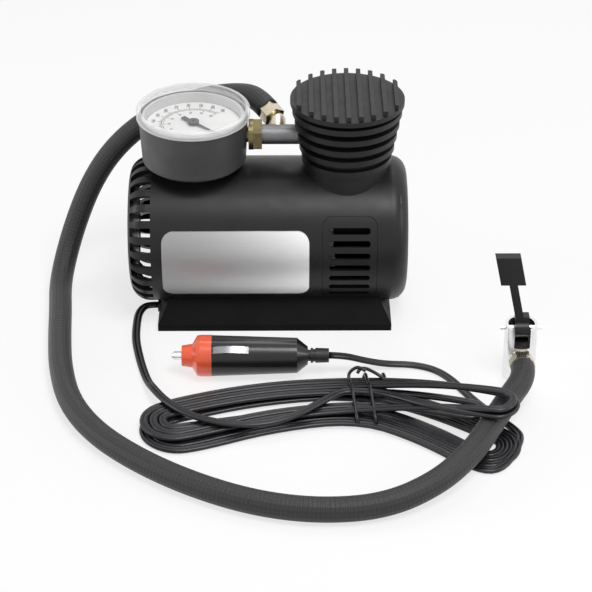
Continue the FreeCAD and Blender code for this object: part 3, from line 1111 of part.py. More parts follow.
CONTACT_X = "plug_joint_x + contact_end_gap + plug_pin_gap"
pockets = []
for side in range(2):
    angle = plug_side(side)
    across, deep = "contact_width / 2 + fit_gap", "contact_floor"
    pocket = block(f"contact_pocket_{side}",
                   (f"{CONTACT_X} - contact_end_gap",
                    f"plug_y - ({across}) * cos({angle}) - {deep} * sin({angle})",
                    f"plug_z - ({across}) * sin({angle}) + {deep} * cos({angle})"),
                   ("contact_length + 2 * contact_end_gap", "contact_width + 2 * fit_gap", "6"))
    pocket.Placement = Placement(pocket.Placement.Base, Rotation(X_AXIS, angle))
    pockets.append(pocket)
keep(cut("plug_body_cut", body_turned, *pockets), "plug_body")
length, seat, rise = number("contact_length"), number("contact_seat"), number("contact_rise")
thick, width = number("contact_thick"), number("contact_width")
strip_outline = Part.Wire([
    Part.Arc(Vector(0, -width / 2, seat), Vector(length / 2, -width / 2, seat + rise),
             Vector(length, -width / 2, seat)).toShape(),
    Part.LineSegment(Vector(length, -width / 2, seat), Vector(length, -width / 2, seat - thick)).toShape(),
    Part.Arc(Vector(length, -width / 2, seat - thick), Vector(length / 2, -width / 2, seat + rise - thick),
             Vector(0, -width / 2, seat - thick)).toShape(),
    Part.LineSegment(Vector(0, -width / 2, seat - thick), Vector(0, -width / 2, seat)).toShape()])
strip = Part.Face(strip_outline).extrude(Vector(0, width, 0))
for side, label in enumerate(("contact_front", "contact_rear")):
    keep(solid(f"contact_strip_{side}", strip, (CONTACT_X, "plug_y", "plug_z"),
               Rotation(X_AXIS, plug_side(side))), label)
keep(turned("plug_pin_turned", [
    ("plug_tip_x", "0"), ("plug_tip_x", "plug_pin_radius / 2"),
    ("plug_tip_x + plug_pin_tip_length", "plug_pin_radius"),
    (FLANGE_X, "plug_pin_radius"), (FLANGE_X, "plug_pin_flange"), (SHOULDER_X, "plug_pin_flange"),
    (SHOULDER_X, "0"),
], PLUG_AT, X_AXIS), "plug_pin")
keep(rod("fuse_bar", "fuse_radius", "fuse_length", (SHOULDER_X, "plug_y", "plug_z"), X_AXIS), "plug_fuse")
spring_pitch = 2 * number("spring_wire")
spring_helix = Part.makeHelix(spring_pitch * 1.2, spring_pitch * 1.2 * number("spring_turns"),
                              number("spring_radius"))
spring_circle = Part.Circle(Vector(number("spring_radius"), 0, 0), Y_AXIS, number("spring_wire"))
spring_ring = Part.Wire(spring_circle.toShape())
spring_shell = Part.BRepOffsetAPI.MakePipeShell(spring_helix)
spring_shell.setFrenetMode(True)
spring_shell.add(spring_ring)
spring_shell.build()
spring_shell.makeSolid()
keep(solid("spring_coil", spring_shell.shape(),
           (f"{ROOM_END} - {SPRING_LENGTH} + spring_wire - 0.03", "plug_y", "plug_z"), turn_to(X_AXIS)),
     "plug_spring")
BOOT_START = BOOT_SEAT + " + plug_pin_gap"
GROOVE_X = "plug_cone_x + boot_ring_pitch"
keep(turned("plug_boot_turned", [
    (BOOT_START, "0"), (BOOT_START, "boot_neck_radius - seat_gap"),
    ("plug_cone_x + boot_step", "boot_neck_radius - seat_gap"), ("plug_cone_x + boot_step", "boot_radius"),
    (GROOVE_X, "boot_radius"), (GROOVE_X, "boot_groove_radius"),
    (GROOVE_X + " + boot_groove_length", "boot_groove_radius"),
    (GROOVE_X + " + boot_groove_length", "boot_radius"), ("plug_boot_x", "boot_end_radius"),
    ("plug_boot_x", "0"),
], PLUG_AT, X_AXIS), "plug_boot")

# Valve chuck, upright on its mouth, with the hose's port to the front
CHUCK_AT = ("chuck_x", "chuck_y", "0")
PORT_AT = ("chuck_x", "chuck_y", "chuck_port_z")
barrel = fuse(
    "chuck_barrel_with_boss",
    turned("chuck_barrel", [
        ("0", "gasket_bore + chuck_lip_gap"), ("0", "chuck_radius - chuck_bevel"),
        ("chuck_bevel", "chuck_radius"), ("chuck_height", "chuck_radius"), ("chuck_height", "chuck_inner"),
        ("chuck_lip", "chuck_inner"), ("chuck_lip", "gasket_bore + chuck_lip_gap"),
    ], CHUCK_AT),
    cut("chuck_boss", rod("chuck_boss_bar", "chuck_boss_radius", "chuck_boss_length", PORT_AT, -Y_AXIS),
        rod("chuck_boss_room", "chuck_inner", "chuck_height", CHUCK_AT)))


def lever_slot(name):
    return block(name, ("chuck_x - chuck_slot_width / 2", "chuck_y - chuck_radius - 1", "chuck_slot_z"),
                 ("chuck_slot_width", "chuck_radius + 1", "chuck_height"))


def chuck_cross_bore(name, radius):
    return rod(name, radius, "chuck_pin_length + 4",
               ("chuck_x - chuck_pin_length / 2 - 2", "chuck_y", "chuck_pin_z"), X_AXIS)


keep(cut("chuck_body_cut", barrel, lever_slot("chuck_body_slot"),
         rod("chuck_port", "barb_radius", "chuck_boss_length + 1", PORT_AT, -Y_AXIS),
         chuck_cross_bore("chuck_body_bore", "chuck_pin_radius")), "chuck_body")
keep(tube("chuck_gasket_ring", "chuck_inner - gasket_gap", "gasket_bore", "gasket_length",
          ("chuck_x", "chuck_y", "chuck_lip")), "chuck_gasket")
plunger_disc = rod("plunger_disc", "chuck_inner - plunger_gap", "plunger_top - plunger_low",
                   ("chuck_x", "chuck_y", "plunger_low"))
plunger_pin = rod("plunger_pin", "plunger_pin_radius", "plunger_low - plunger_pin_low",
                  ("chuck_x", "chuck_y", "plunger_pin_low"))
keep(fuse("plunger_blank", plunger_disc, plunger_pin), "chuck_plunger")
keep(rod("chuck_pin_bar", "chuck_pin_radius", "chuck_pin_length",
         ("chuck_x - chuck_pin_length / 2", "chuck_y", "chuck_pin_z"), X_AXIS), "chuck_pin")


def lean(height):
    return f"-({height}) * tan(lever_lean)"


BLOCK_Z = "(lever_block_top - chuck_pin_z - 1)"
PADDLE_Z = "(lever_paddle_z - chuck_pin_z)"
TOP_Z = "(lever_top_z - chuck_pin_z)"
STEM_HALF, PADDLE_HALF = "lever_stem_width / 2", "lever_paddle_width / 2"
lever_arm = doc.addObject("PartDesign::Body", "lever_arm")
arm_outline = section(lever_arm, "lever_arm_outline", [
    (f"{lean(BLOCK_Z)} - {STEM_HALF}", BLOCK_Z), (f"{lean(BLOCK_Z)} + {STEM_HALF}", BLOCK_Z),
    (f"{lean(PADDLE_Z)} + {STEM_HALF}", PADDLE_Z), (f"{lean(PADDLE_Z)} + {PADDLE_HALF}", PADDLE_Z),
    (f"{lean(TOP_Z)} + {PADDLE_HALF}", TOP_Z), (f"{lean(TOP_Z)} - {PADDLE_HALF}", TOP_Z),
    (f"{lean(PADDLE_Z)} - {PADDLE_HALF}", PADDLE_Z), (f"{lean(PADDLE_Z)} - {STEM_HALF}", PADDLE_Z),
])
arm_pad = lever_arm.newObject("PartDesign::Pad", "lever_arm_pad")
arm_pad.Profile = arm_outline
arm_pad.Midplane = True
bind_all(arm_pad, Length="lever_paddle_depth")
place(lever_arm, ("chuck_x", "chuck_y", "chuck_pin_z"))
lever_blank = fuse(
    "lever_blank", lever_arm,
    rod("lever_cam", "lever_cam_radius", "lever_width",
        ("chuck_x - lever_width / 2", "chuck_y - lever_cam_throw", "chuck_pin_z"), X_AXIS),
    block("lever_block", ("chuck_x - lever_width / 2", "chuck_y - lever_paddle_depth / 2", "chuck_pin_z"),
          ("lever_width", "lever_paddle_depth", "lever_block_top - chuck_pin_z")))
lever_bore = chuck_cross_bore("lever_bore", "chuck_pin_radius + pin_gap")
keep(cut("lever_cut", lever_blank, lever_bore), "chuck_lever")
FERRULE_Y = "chuck_y - chuck_boss_length"
BARB_Y = "chuck_y - chuck_inner"
ferrule_blank = fuse(
    "ferrule_blank",
    hexagon("ferrule_hex", "ferrule_radius", "ferrule_length", ("chuck_x", FERRULE_Y, "chuck_port_z"),
            -Y_AXIS),
    rod("barb_bar", "barb_radius", "chuck_boss_length - chuck_inner + ferrule_length",
        ("chuck_x", BARB_Y, "chuck_port_z"), -Y_AXIS))
ferrule_bore = rod("ferrule_bore", "barb_bore", "chuck_boss_length + ferrule_length",
                   ("chuck_x", BARB_Y, "chuck_port_z"), -Y_AXIS)
keep(cut("ferrule_cut", ferrule_blank, ferrule_bore), "hose_ferrule")

# Cords. Their routes are lists chosen by hand, so each starts and ends on the piece that holds it.
keep(block("gland_block", ("foot_left - 1", "gland_y - gland_width / 2", "floor_gap"),
           ("gland_length + 1", "gland_width", "gland_height - floor_gap")), "cord_gland")

HOSE_START = "(hose_nut_start + hose_nut_length)"
hose_start = point(*along_hose(HOSE_START))
hose_ahead = point(*along_hose(f"{HOSE_START} + hose_first_run"))
hose_end = point("chuck_x", "chuck_y - chuck_boss_length - ferrule_length", "chuck_port_z")
hose_before_end = hose_end - Y_AXIS * number("hose_last_run")
HOSE_ROUTE = [
    (-15.0, 34.5, 104.2), (-31.0, 40.5, 100.6), (-50.0, 42.0, 93.5), (-69.0, 40.5, 83.0),
    (-84.5, 36.5, 68.0), (-95.5, 32.0, 51.0), (-104.0, 26.5, 31.5), (-110.0, 17.5, 14.0),
    (-112.0, 0.0, 6.0), (-109.5, -25.0, 6.0), (-107.5, -52.0, 6.0), (-104.5, -80.0, 6.0),
    (-97.5, -110.0, 6.0), (-83.0, -136.0, 6.0), (-61.0, -158.5, 6.0), (-34.0, -178.0, 6.0),
    (-4.0, -192.5, 6.0), (26.0, -198.0, 6.0), (55.0, -194.5, 6.3), (79.0, -181.0, 9.0),
    (96.5, -160.0, 10.9), (107.5, -137.0, 10.8), (117.5, -116.0, 11.0),
]
hose_edges = rounded_route([hose_start, hose_ahead] + HOSE_ROUTE + [hose_before_end, hose_end], "hose")
keep(solid("hose_tube", swept(hose_edges, number("hose_radius"))), "hose")

lead_start = point("foot_left - 1", "gland_y", "cord_z")
hank_start = point("hank_x", "hank_y", "hank_start_z")
LEAD_ROUTE = [
    (-66.6, -16.4, 2.3), (-68.8, -22.0, 2.3), (-69.2, -32.0, 2.3), (-68.8, -46.8, 2.3),
    (-66.4, -61.0, 2.3), (-63.6, -74.0, 2.3), (-60.4, -86.5, 3.6), (-56.8, -98.0, 10.5),
    (-50.5, -110.5, 13.0), (-39.5, -122.5, 13.0), (-23.0, -131.0, 13.0), (-4.0, -132.5, 13.0),
    (13.0, -126.0, 13.0), (26.0, -114.5, 13.2),
]
lead_ahead = lead_start - X_AXIS * number("lead_first_run")
hank_before_start = hank_start - X_AXIS * number("lead_last_run")
lead_edges = rounded_route([lead_start, lead_ahead] + LEAD_ROUTE + [hank_before_start, hank_start], "lead")
keep(solid("lead_tube", swept(lead_edges, number("lead_radius"))), "cord_lead")


# Hank: one cord wound round two ends and drawn in at the waist, in two layers. It is laid out straight,
# then bent to a bow about a centre in front of it.

def bowed(along, across, height):
    angle = along / number("hank_bend")
    reach = number("hank_bend") + across
    return Vector(number("hank_x") + reach * math.sin(angle),
                  number("hank_y") - number("hank_bend") + reach * math.cos(angle), height)


def bowed_direction(along, ahead, side):
    angle = along / number("hank_bend")
    return Vector(ahead * math.cos(angle) + side * math.sin(angle),
                  side * math.cos(angle) - ahead * math.sin(angle), 0).normalize()


pitch, right_pitch, layer_step = number("hank_pitch"), number("hank_right_pitch"), number("hank_layer")
left_end, right_end = number("hank_left"), number("hank_right")


def hank_station(index, turn, high):
    """A place on the loop: 0 waist front, then right end in three steps, waist back, left end in three."""
    left_width = number("hank_left_inner") + turn * pitch
    if high:
        right_width, shift = number("hank_high_inner") + turn * pitch, number("hank_high_shift")
        end_z, right_z = number("lead_radius") + layer_step, number("hank_high_z")
    else:
        right_width, shift = number("hank_low_inner") + turn * right_pitch, number("hank_low_shift")
        end_z = right_z = number("lead_radius")
    waist = (turn + 0.5) * pitch
    waist_z = end_z + number("hank_waist_lift")
    return [
        (0, -waist, waist_z, 1, 0), (right_end, shift - right_width, right_z, 1, 0),
        (right_end + right_width, shift, right_z, 0, 1), (right_end, shift + right_width, right_z, -1, 0),
        (0, waist, waist_z, -1, 0), (-left_end, left_width, end_z, -1, 0),
        (-left_end - left_width, 0, end_z, 0, -1), (-left_end, -left_width, end_z, 1, 0),
    ][index]


HIGH_STEPS, LOW_STEPS = 23, 26
stations = [(0, 0, number("hank_start_z"), 1, 0)]
first_turn = HIGH_STEPS / 8
first = hank_station(1, first_turn, True)
stations.append((right_end / 2, (first[1] - pitch / 4) * number("hank_lead_in"),
                 first[2] - number("hank_lead_drop"), 1, 0))
for step in range(HIGH_STEPS):
    stations.append(hank_station((step + 1) % 8, first_turn - step / 8, True))
for step in range(LOW_STEPS + 1):
    stations.append(hank_station(step % 8, step / 8, False))
hank_edges = []
hank_points = []
for (a, b, c, ahead, side), (a2, b2, c2, ahead2, side2) in zip(stations, stations[1:]):
    hank_edges += biarc(bowed(a, b, c), bowed_direction(a, ahead, side), bowed(a2, b2, c2),
                        bowed_direction(a2, ahead2, side2))
for edge in hank_edges:
    hank_points += edge.discretize(max(2, int(edge.Length / 2.5)))[:-1]
least = 1e9
for i, here in enumerate(hank_points):
    for j in range(i + 9, len(hank_points)):
        least = min(least, here.distanceToPoint(hank_points[j]))
print(f"hank: {len(hank_edges)} arcs, least gap to itself {least - 2 * number('lead_radius'):.2f} mm")
keep(solid("hank_tube", swept(hank_edges, number("lead_radius"))), "cord_hank")
hank_end = hank_edges[-1].valueAt(hank_edges[-1].LastParameter)

tail_start = point("plug_boot_x", "plug_y", "plug_z")
hank_leaving = hank_edges[-1].tangentAt(hank_edges[-1].LastParameter)
TAIL_ROUTE = [
    (49.0, -74.5, 6.4), (60.0, -71.8, 3.2), (73.0, -71.5, 2.3), (86.0, -77.5, 2.3), (98.0, -86.5, 2.3),
    (110.0, -94.5, 2.3), (121.5, -102.5, 2.3), (130.3, -112.0, 2.2), (134.4, -122.0, 2.1),
]
tail_ahead = tail_start + X_AXIS * number("tail_first_run")
hank_past_end = hank_end + hank_leaving * number("tail_last_run")
tail_edges = rounded_route([tail_start, tail_ahead] + TAIL_ROUTE + [hank_past_end, hank_end], "tail")
keep(solid("tail_tube", swept(tail_edges, number("lead_radius"))), "cord_tail")

# Tie: a wire that goes twice round the hank's waist, with both ends turned up on top.
# Its places are distances across the bundle from its middle, and heights; those of its ends also have
# a distance along the bundle first.
TIE_RING = [(8.0, 11.3), (2.8, 16.3), (-3.6, 16.2), (-10.0, 11.6), (-18.6, 11.2), (-20.9, 5.5),
            (-19.0, 0.75), (-9.0, 0.75), (1.0, 0.78), (10.0, 0.75), (17.0, 0.78), (18.9, 6.0), (17.0, 11.4)]
TIE_ENDS = [(-3.0, 13.0, 18.5), (16.0, 3.5, 19.5)]
tie_left = number("hank_x - tie_spread")
tie_step = number("tie_spread") / len(TIE_RING)
tie_places = [TIE_ENDS[0]]
tie_places += [(step * tie_step, *TIE_RING[step % len(TIE_RING)]) for step in range(2 * len(TIE_RING) + 1)]
tie_places.append(TIE_ENDS[1])
tie_points = [(tie_left + along, number("hank_y") + across, height) for along, across, height in tie_places]
tie_edges = rounded_route(tie_points, "tie")
keep(solid("tie_wire_tube", swept(tie_edges, number("tie_wire"))), "cord_tie")

# Every feature must hold, and every piece must be a valid solid, before anything is written.
doc.recompute()
failed = [item.Name for item in doc.Objects if "Invalid" in item.State or "Error" in item.State]
if failed:
    raise RuntimeError(f"features failed: {failed}")
os.makedirs("parts", exist_ok=True)
for item in finished:
    if item.Shape.isNull() or not item.Shape.isValid() or not item.Shape.Solids:
        raise RuntimeError(f"{item.Label} isn't a valid solid")
for item in finished:
    item.Shape.exportStep(f"parts/{item.Label}.step")
print(f"{len(finished)} pieces written")
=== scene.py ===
"""Looks of a portable 12 V tyre inflator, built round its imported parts. Metres, +Z up, -Y to the front."""

import json
import logging
import math
from dataclasses import dataclass
from enum import Enum

import bmesh
import bpy
from mathutils import Matrix, Vector

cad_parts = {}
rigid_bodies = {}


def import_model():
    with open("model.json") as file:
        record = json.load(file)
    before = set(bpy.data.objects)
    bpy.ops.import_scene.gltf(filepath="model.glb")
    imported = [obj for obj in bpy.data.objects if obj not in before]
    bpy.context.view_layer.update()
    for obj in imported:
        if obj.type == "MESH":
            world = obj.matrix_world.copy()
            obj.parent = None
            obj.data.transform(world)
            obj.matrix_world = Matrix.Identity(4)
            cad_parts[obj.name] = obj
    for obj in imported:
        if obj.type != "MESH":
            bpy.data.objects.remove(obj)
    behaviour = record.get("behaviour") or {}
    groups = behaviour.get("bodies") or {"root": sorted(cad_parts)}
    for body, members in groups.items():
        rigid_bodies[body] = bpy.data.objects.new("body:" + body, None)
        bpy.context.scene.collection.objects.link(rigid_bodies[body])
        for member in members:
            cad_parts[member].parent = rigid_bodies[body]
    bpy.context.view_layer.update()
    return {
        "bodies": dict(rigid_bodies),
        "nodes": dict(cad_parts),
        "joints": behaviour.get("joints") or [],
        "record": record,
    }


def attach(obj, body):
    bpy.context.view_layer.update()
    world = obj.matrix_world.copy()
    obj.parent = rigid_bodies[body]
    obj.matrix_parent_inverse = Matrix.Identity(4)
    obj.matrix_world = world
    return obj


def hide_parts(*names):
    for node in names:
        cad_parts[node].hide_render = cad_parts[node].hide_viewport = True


log = logging.getLogger("inflator")

MM = 0.001
Colour = tuple[float, float, float]


def mm(*values: float) -> Vector:
    """A vector from millimetres."""
    return Vector(values) * MM


class Space(Enum):
    """What a pattern is laid out on."""

    OBJECT = "Object"
    UV = "UV"


class Grain(Enum):
    """The way the tool marks of a metal run."""

    ALONG_X = (0.03, 1.0, 1.0)
    EVEN = (1.0, 1.0, 1.0)


class Shader:
    """A material under construction round its principled shader."""

    def __init__(self, name: str) -> None:
        """Start a material.

        Args:
            name: The material's name.
        """
        self.material = bpy.data.materials.new(name)
        self.material.use_nodes = True
        self.tree = self.material.node_tree
        self.principled = self.tree.nodes["Principled BSDF"]

    def set(self, values: dict[str, object]) -> None:
        """Set sockets of the principled shader by name."""
        for name, value in values.items():
            self.principled.inputs[name].default_value = value

    def node(self, kind: str, values: dict[str | int, object] | None = None,
             **settings: object) -> bpy.types.Node:
        """Add a node.

        Args:
            kind: The node's type.
            values: Input values by name or number.
            settings: Properties of the node.

        Returns:
            The new node.
        """
        made = self.tree.nodes.new(kind)
        for name, value in settings.items():
            setattr(made, name, value)
        for name, value in (values or {}).items():
            made.inputs[name].default_value = value
        return made

    def link(self, source: bpy.types.NodeSocket, target: bpy.types.NodeSocket) -> None:
        """Join an output to an input."""
        self.tree.links.new(source, target)

    def place(self, space: Space, stretch: tuple[float, float, float] = (1, 1, 1)) -> bpy.types.NodeSocket:
        """Coordinates in metres.

        Args:
            space: What they are measured on.
            stretch: A factor for each axis.

        Returns:
            The socket that holds them.
        """
        source = self.node("ShaderNodeTexCoord")
        mapping = self.node("ShaderNodeMapping", {"Scale": stretch})
        self.link(source.outputs[space.value], mapping.inputs["Vector"])
        return mapping.outputs["Vector"]

    def noise(self, size: float, detail: float = 2.0, space: Space = Space.OBJECT,
              stretch: tuple[float, float, float] = (1, 1, 1)) -> bpy.types.NodeSocket:
        """Cloudy noise.

        Args:
            size: About how far across its blobs are, in metres.
            detail: How many finer layers it has.
            space: What it is laid out on.
            stretch: A factor for each axis.

        Returns:
            The noise, mostly between 0.3 and 0.7.
        """
        made = self.node("ShaderNodeTexNoise", {"Scale": 1.0 / size, "Detail": detail})
        self.link(self.place(space, stretch), made.inputs["Vector"])
        return made.outputs["Fac"]

    def spread(self, value: bpy.types.NodeSocket, low: float, high: float) -> bpy.types.NodeSocket:
        """Noise stretched to run between two values.

        Args:
            value: The noise.
            low: The value of its low parts.
            high: The value of its high parts.

        Returns:
            The stretched noise.
        """
        made = self.node("ShaderNodeMapRange",
                         {"From Min": 0.3, "From Max": 0.7, "To Min": low, "To Max": high})
        self.link(value, made.inputs["Value"])
        return made.outputs["Result"]

    def tint(self, value: bpy.types.NodeSocket, dark: Colour, light: Colour) -> None:
        """Drive the base colour between two colours.

        Args:
            value: 0 for the dark colour and 1 for the light one.
            dark: The first colour.
            light: The second colour.
        """
        mix = self.node("ShaderNodeMix", data_type="RGBA")
        colours = [socket for socket in mix.inputs if socket.type == "RGBA"]
        colours[0].default_value = (*dark, 1)
        colours[1].default_value = (*light, 1)
        self.link(value, mix.inputs["Factor"])
        result = [socket for socket in mix.outputs if socket.type == "RGBA"][0]
        self.link(result, self.principled.inputs["Base Color"])

    def maths(self, operation: str, *values: bpy.types.NodeSocket | float) -> bpy.types.NodeSocket:
        """One sum.

        Args:
            operation: Blender's name for the sum.
            values: Sockets or plain numbers.

        Returns:
            The socket of its result.
        """
        made = self.node("ShaderNodeMath", operation=operation)
        for index, value in enumerate(values):
            if isinstance(value, (int, float)):
                made.inputs[index].default_value = value
            else:
                self.link(value, made.inputs[index])
        return made.outputs[0]

    def bump(self, height: bpy.types.NodeSocket, depth: float) -> None:
        """Raise the surface by a pattern.

        Args:
            height: The pattern.
            depth: How far it rises, in metres.
        """
        made = self.node("ShaderNodeBump", {"Distance": depth, "Strength": 1.0})
        self.link(height, made.inputs["Height"])
        self.link(made.outputs["Normal"], self.principled.inputs["Normal"])


@dataclass(frozen=True)
class Plastic:
    """Moulded plastic or rubber with a fine grain."""

    name: str
    colour: Colour
    roughness: float
    grain: float = 0.0006
    depth: float = 0.00001
    drift: float = 0.25
    gloss: float = 0.0
    shine: float = 0.5

    def material(self) -> bpy.types.Material:
        """Build the material."""
        shader = Shader(self.name)
        shader.set({"Coat Weight": self.gloss, "Coat Roughness": 0.12, "IOR": 1.48,
                    "Specular IOR Level": self.shine})
        dark = tuple(part * (1 - self.drift) for part in self.colour)
        light = tuple(part * (1 + self.drift) for part in self.colour)
        shader.tint(shader.spread(shader.noise(0.02, 3.0), 0.0, 1.0), dark, light)
        rough = shader.spread(shader.noise(0.006, 4.0), self.roughness * 0.88, self.roughness * 1.12)
        shader.link(rough, shader.principled.inputs["Roughness"])
        shader.bump(shader.noise(self.grain, 3.0), self.depth)
        return shader.material


@dataclass(frozen=True)
class Metal:
    """Bare or plated metal with tool marks and a little tarnish."""

    name: str
    colour: Colour
    tarnish: Colour
    roughness: float
    grain: Grain = Grain.EVEN
    mark: float = 0.0005
    depth: float = 0.000006

    def material(self) -> bpy.types.Material:
        """Build the material."""
        shader = Shader(self.name)
        shader.set({"Metallic": 1.0})
        shader.tint(shader.spread(shader.noise(0.007, 4.0), 0.0, 1.0), self.tarnish, self.colour)
        marks = shader.noise(self.mark, 3.0, stretch=self.grain.value)
        rough = shader.spread(marks, self.roughness * 0.75, self.roughness * 1.25)
        shader.link(rough, shader.principled.inputs["Roughness"])
        shader.bump(marks, self.depth)
        return shader.material


@dataclass(frozen=True)
class Foil:
    """Silver foil whose colour runs evenly from grey at its left end to silver at its right one, a painted
    sheen that stands in for reflected light.
    """

    name: str
    left_colour: Colour
    right_colour: Colour
    left: float
    right: float
    roughness: float
    bend: float = 1.8
    mark: float = 0.0005
    depth: float = 0.000006

    def material(self) -> bpy.types.Material:
        """Build the material."""
        shader = Shader(self.name)
        shader.set({"Metallic": 0.85})
        split = shader.node("ShaderNodeSeparateXYZ")
        shader.link(shader.place(Space.OBJECT), split.inputs[0])
        run = shader.node("ShaderNodeMapRange", {"From Min": self.left, "From Max": self.right})
        shader.link(split.outputs[0], run.inputs["Value"])
        # Painted sheen: the colour runs from grey to silver along X, standing in for reflected light.
        painted_sheen = shader.maths("POWER", run.outputs["Result"], self.bend)
        shader.tint(painted_sheen, self.left_colour, self.right_colour)
        marks = shader.noise(self.mark, 3.0, stretch=Grain.ALONG_X.value)
        rough = shader.spread(marks, self.roughness * 0.85, self.roughness * 1.15)
        shader.link(rough, shader.principled.inputs["Roughness"])
        shader.bump(marks, self.depth)
        return shader.material


@dataclass(frozen=True)
class Braid:
    """The woven cover of an air hose: tight bands round it, crossed by a slanting lay."""

    name: str
    colour: Colour
    band: float = 0.0011
    lay: float = 0.0040
    depth: float = 0.00022
    band_share: float = 0.35
    weave_share: float = 0.6
    dark_share: float = 0.3
    light_share: float = 2.4

    def material(self) -> bpy.types.Material:
        """Build the material."""
        shader = Shader(self.name)
        shader.set({"Roughness": 0.55, "Sheen Weight": 0.15, "Sheen Roughness": 0.4})
        split = shader.node("ShaderNodeSeparateXYZ")
        shader.link(shader.place(Space.UV), split.inputs[0])
        around, along = split.outputs[0], split.outputs[1]
        turn = 2 * math.pi
        wobble = shader.maths("MULTIPLY", shader.noise(0.004, 2.0, Space.UV), 3.0)
        bands = shader.maths("SINE", shader.maths(
            "ADD", shader.maths("MULTIPLY", along, turn / self.band), wobble))
        slant = shader.maths("ADD", shader.maths("MULTIPLY", along, turn / self.lay),
                             shader.maths("MULTIPLY", around, turn / self.lay))
        cross = shader.maths("SUBTRACT", shader.maths("MULTIPLY", along, turn / self.lay),
                             shader.maths("MULTIPLY", around, turn / self.lay))
        woven = shader.maths("MULTIPLY", shader.maths("SINE", slant), shader.maths("SINE", cross))
        height = shader.maths("ADD", shader.maths("MULTIPLY", bands, self.band_share),
                              shader.maths("MULTIPLY", woven, self.weave_share))
        level = shader.maths("MULTIPLY_ADD", height, 0.5, 0.5)
        # The colour follows the bump: painted shade in the weave's grooves and painted highlights on its
        # ridges.
        dark = tuple(part * self.dark_share for part in self.colour)
        light = tuple(part * self.light_share for part in self.colour)
        shader.tint(level, dark, light)
        shader.bump(level, self.depth)
        return shader.material


@dataclass(frozen=True)
class Clear:
    """A clear moulding or glass."""

    name: str
    colour: Colour
    roughness: float
    refraction: float = 1.35

    def material(self) -> bpy.types.Material:
        """Build the material."""
        shader = Shader(self.name)
        shader.set({"Base Color": (*self.colour, 1), "Transmission Weight": 1.0, "IOR": self.refraction})
        rough = shader.spread(shader.noise(0.004, 2.0), self.roughness * 0.6, self.roughness * 1.4)
        shader.link(rough, shader.principled.inputs["Roughness"])
        return shader.material


@dataclass(frozen=True)
class Window:
    """A gauge's clear moulded window, which turns milky in the thick rim round it."""

    name: str
    colour: Colour
    middle: tuple[float, float]
    clear_radius: float
    milky_radius: float
    haze: float = 0.07
    milkiness: float = 0.5
    clear_roughness: float = 0.05
    milky_roughness: float = 0.3

    def material(self) -> bpy.types.Material:
        """Build the material."""
        shader = Shader(self.name)
        shader.set({"Base Color": (*self.colour, 1), "IOR": 1.45})
        split = shader.node("ShaderNodeSeparateXYZ")
        shader.link(shader.place(Space.OBJECT), split.inputs[0])
        sides = [shader.maths("SUBTRACT", split.outputs[i], self.middle[i]) for i in range(2)]
        squares = [shader.maths("MULTIPLY", side, side) for side in sides]
        radius = shader.maths("SQRT", shader.maths("ADD", *squares))
        rim = {"From Min": self.clear_radius, "From Max": self.milky_radius}
        for socket, clear, milky in (("Alpha", self.haze, self.milkiness),
                                     ("Roughness", self.clear_roughness, self.milky_roughness)):
            run = shader.node("ShaderNodeMapRange", {**rim, "To Min": clear, "To Max": milky})
            shader.link(radius, run.inputs["Value"])
            shader.link(run.outputs["Result"], shader.principled.inputs[socket])
        return shader.material


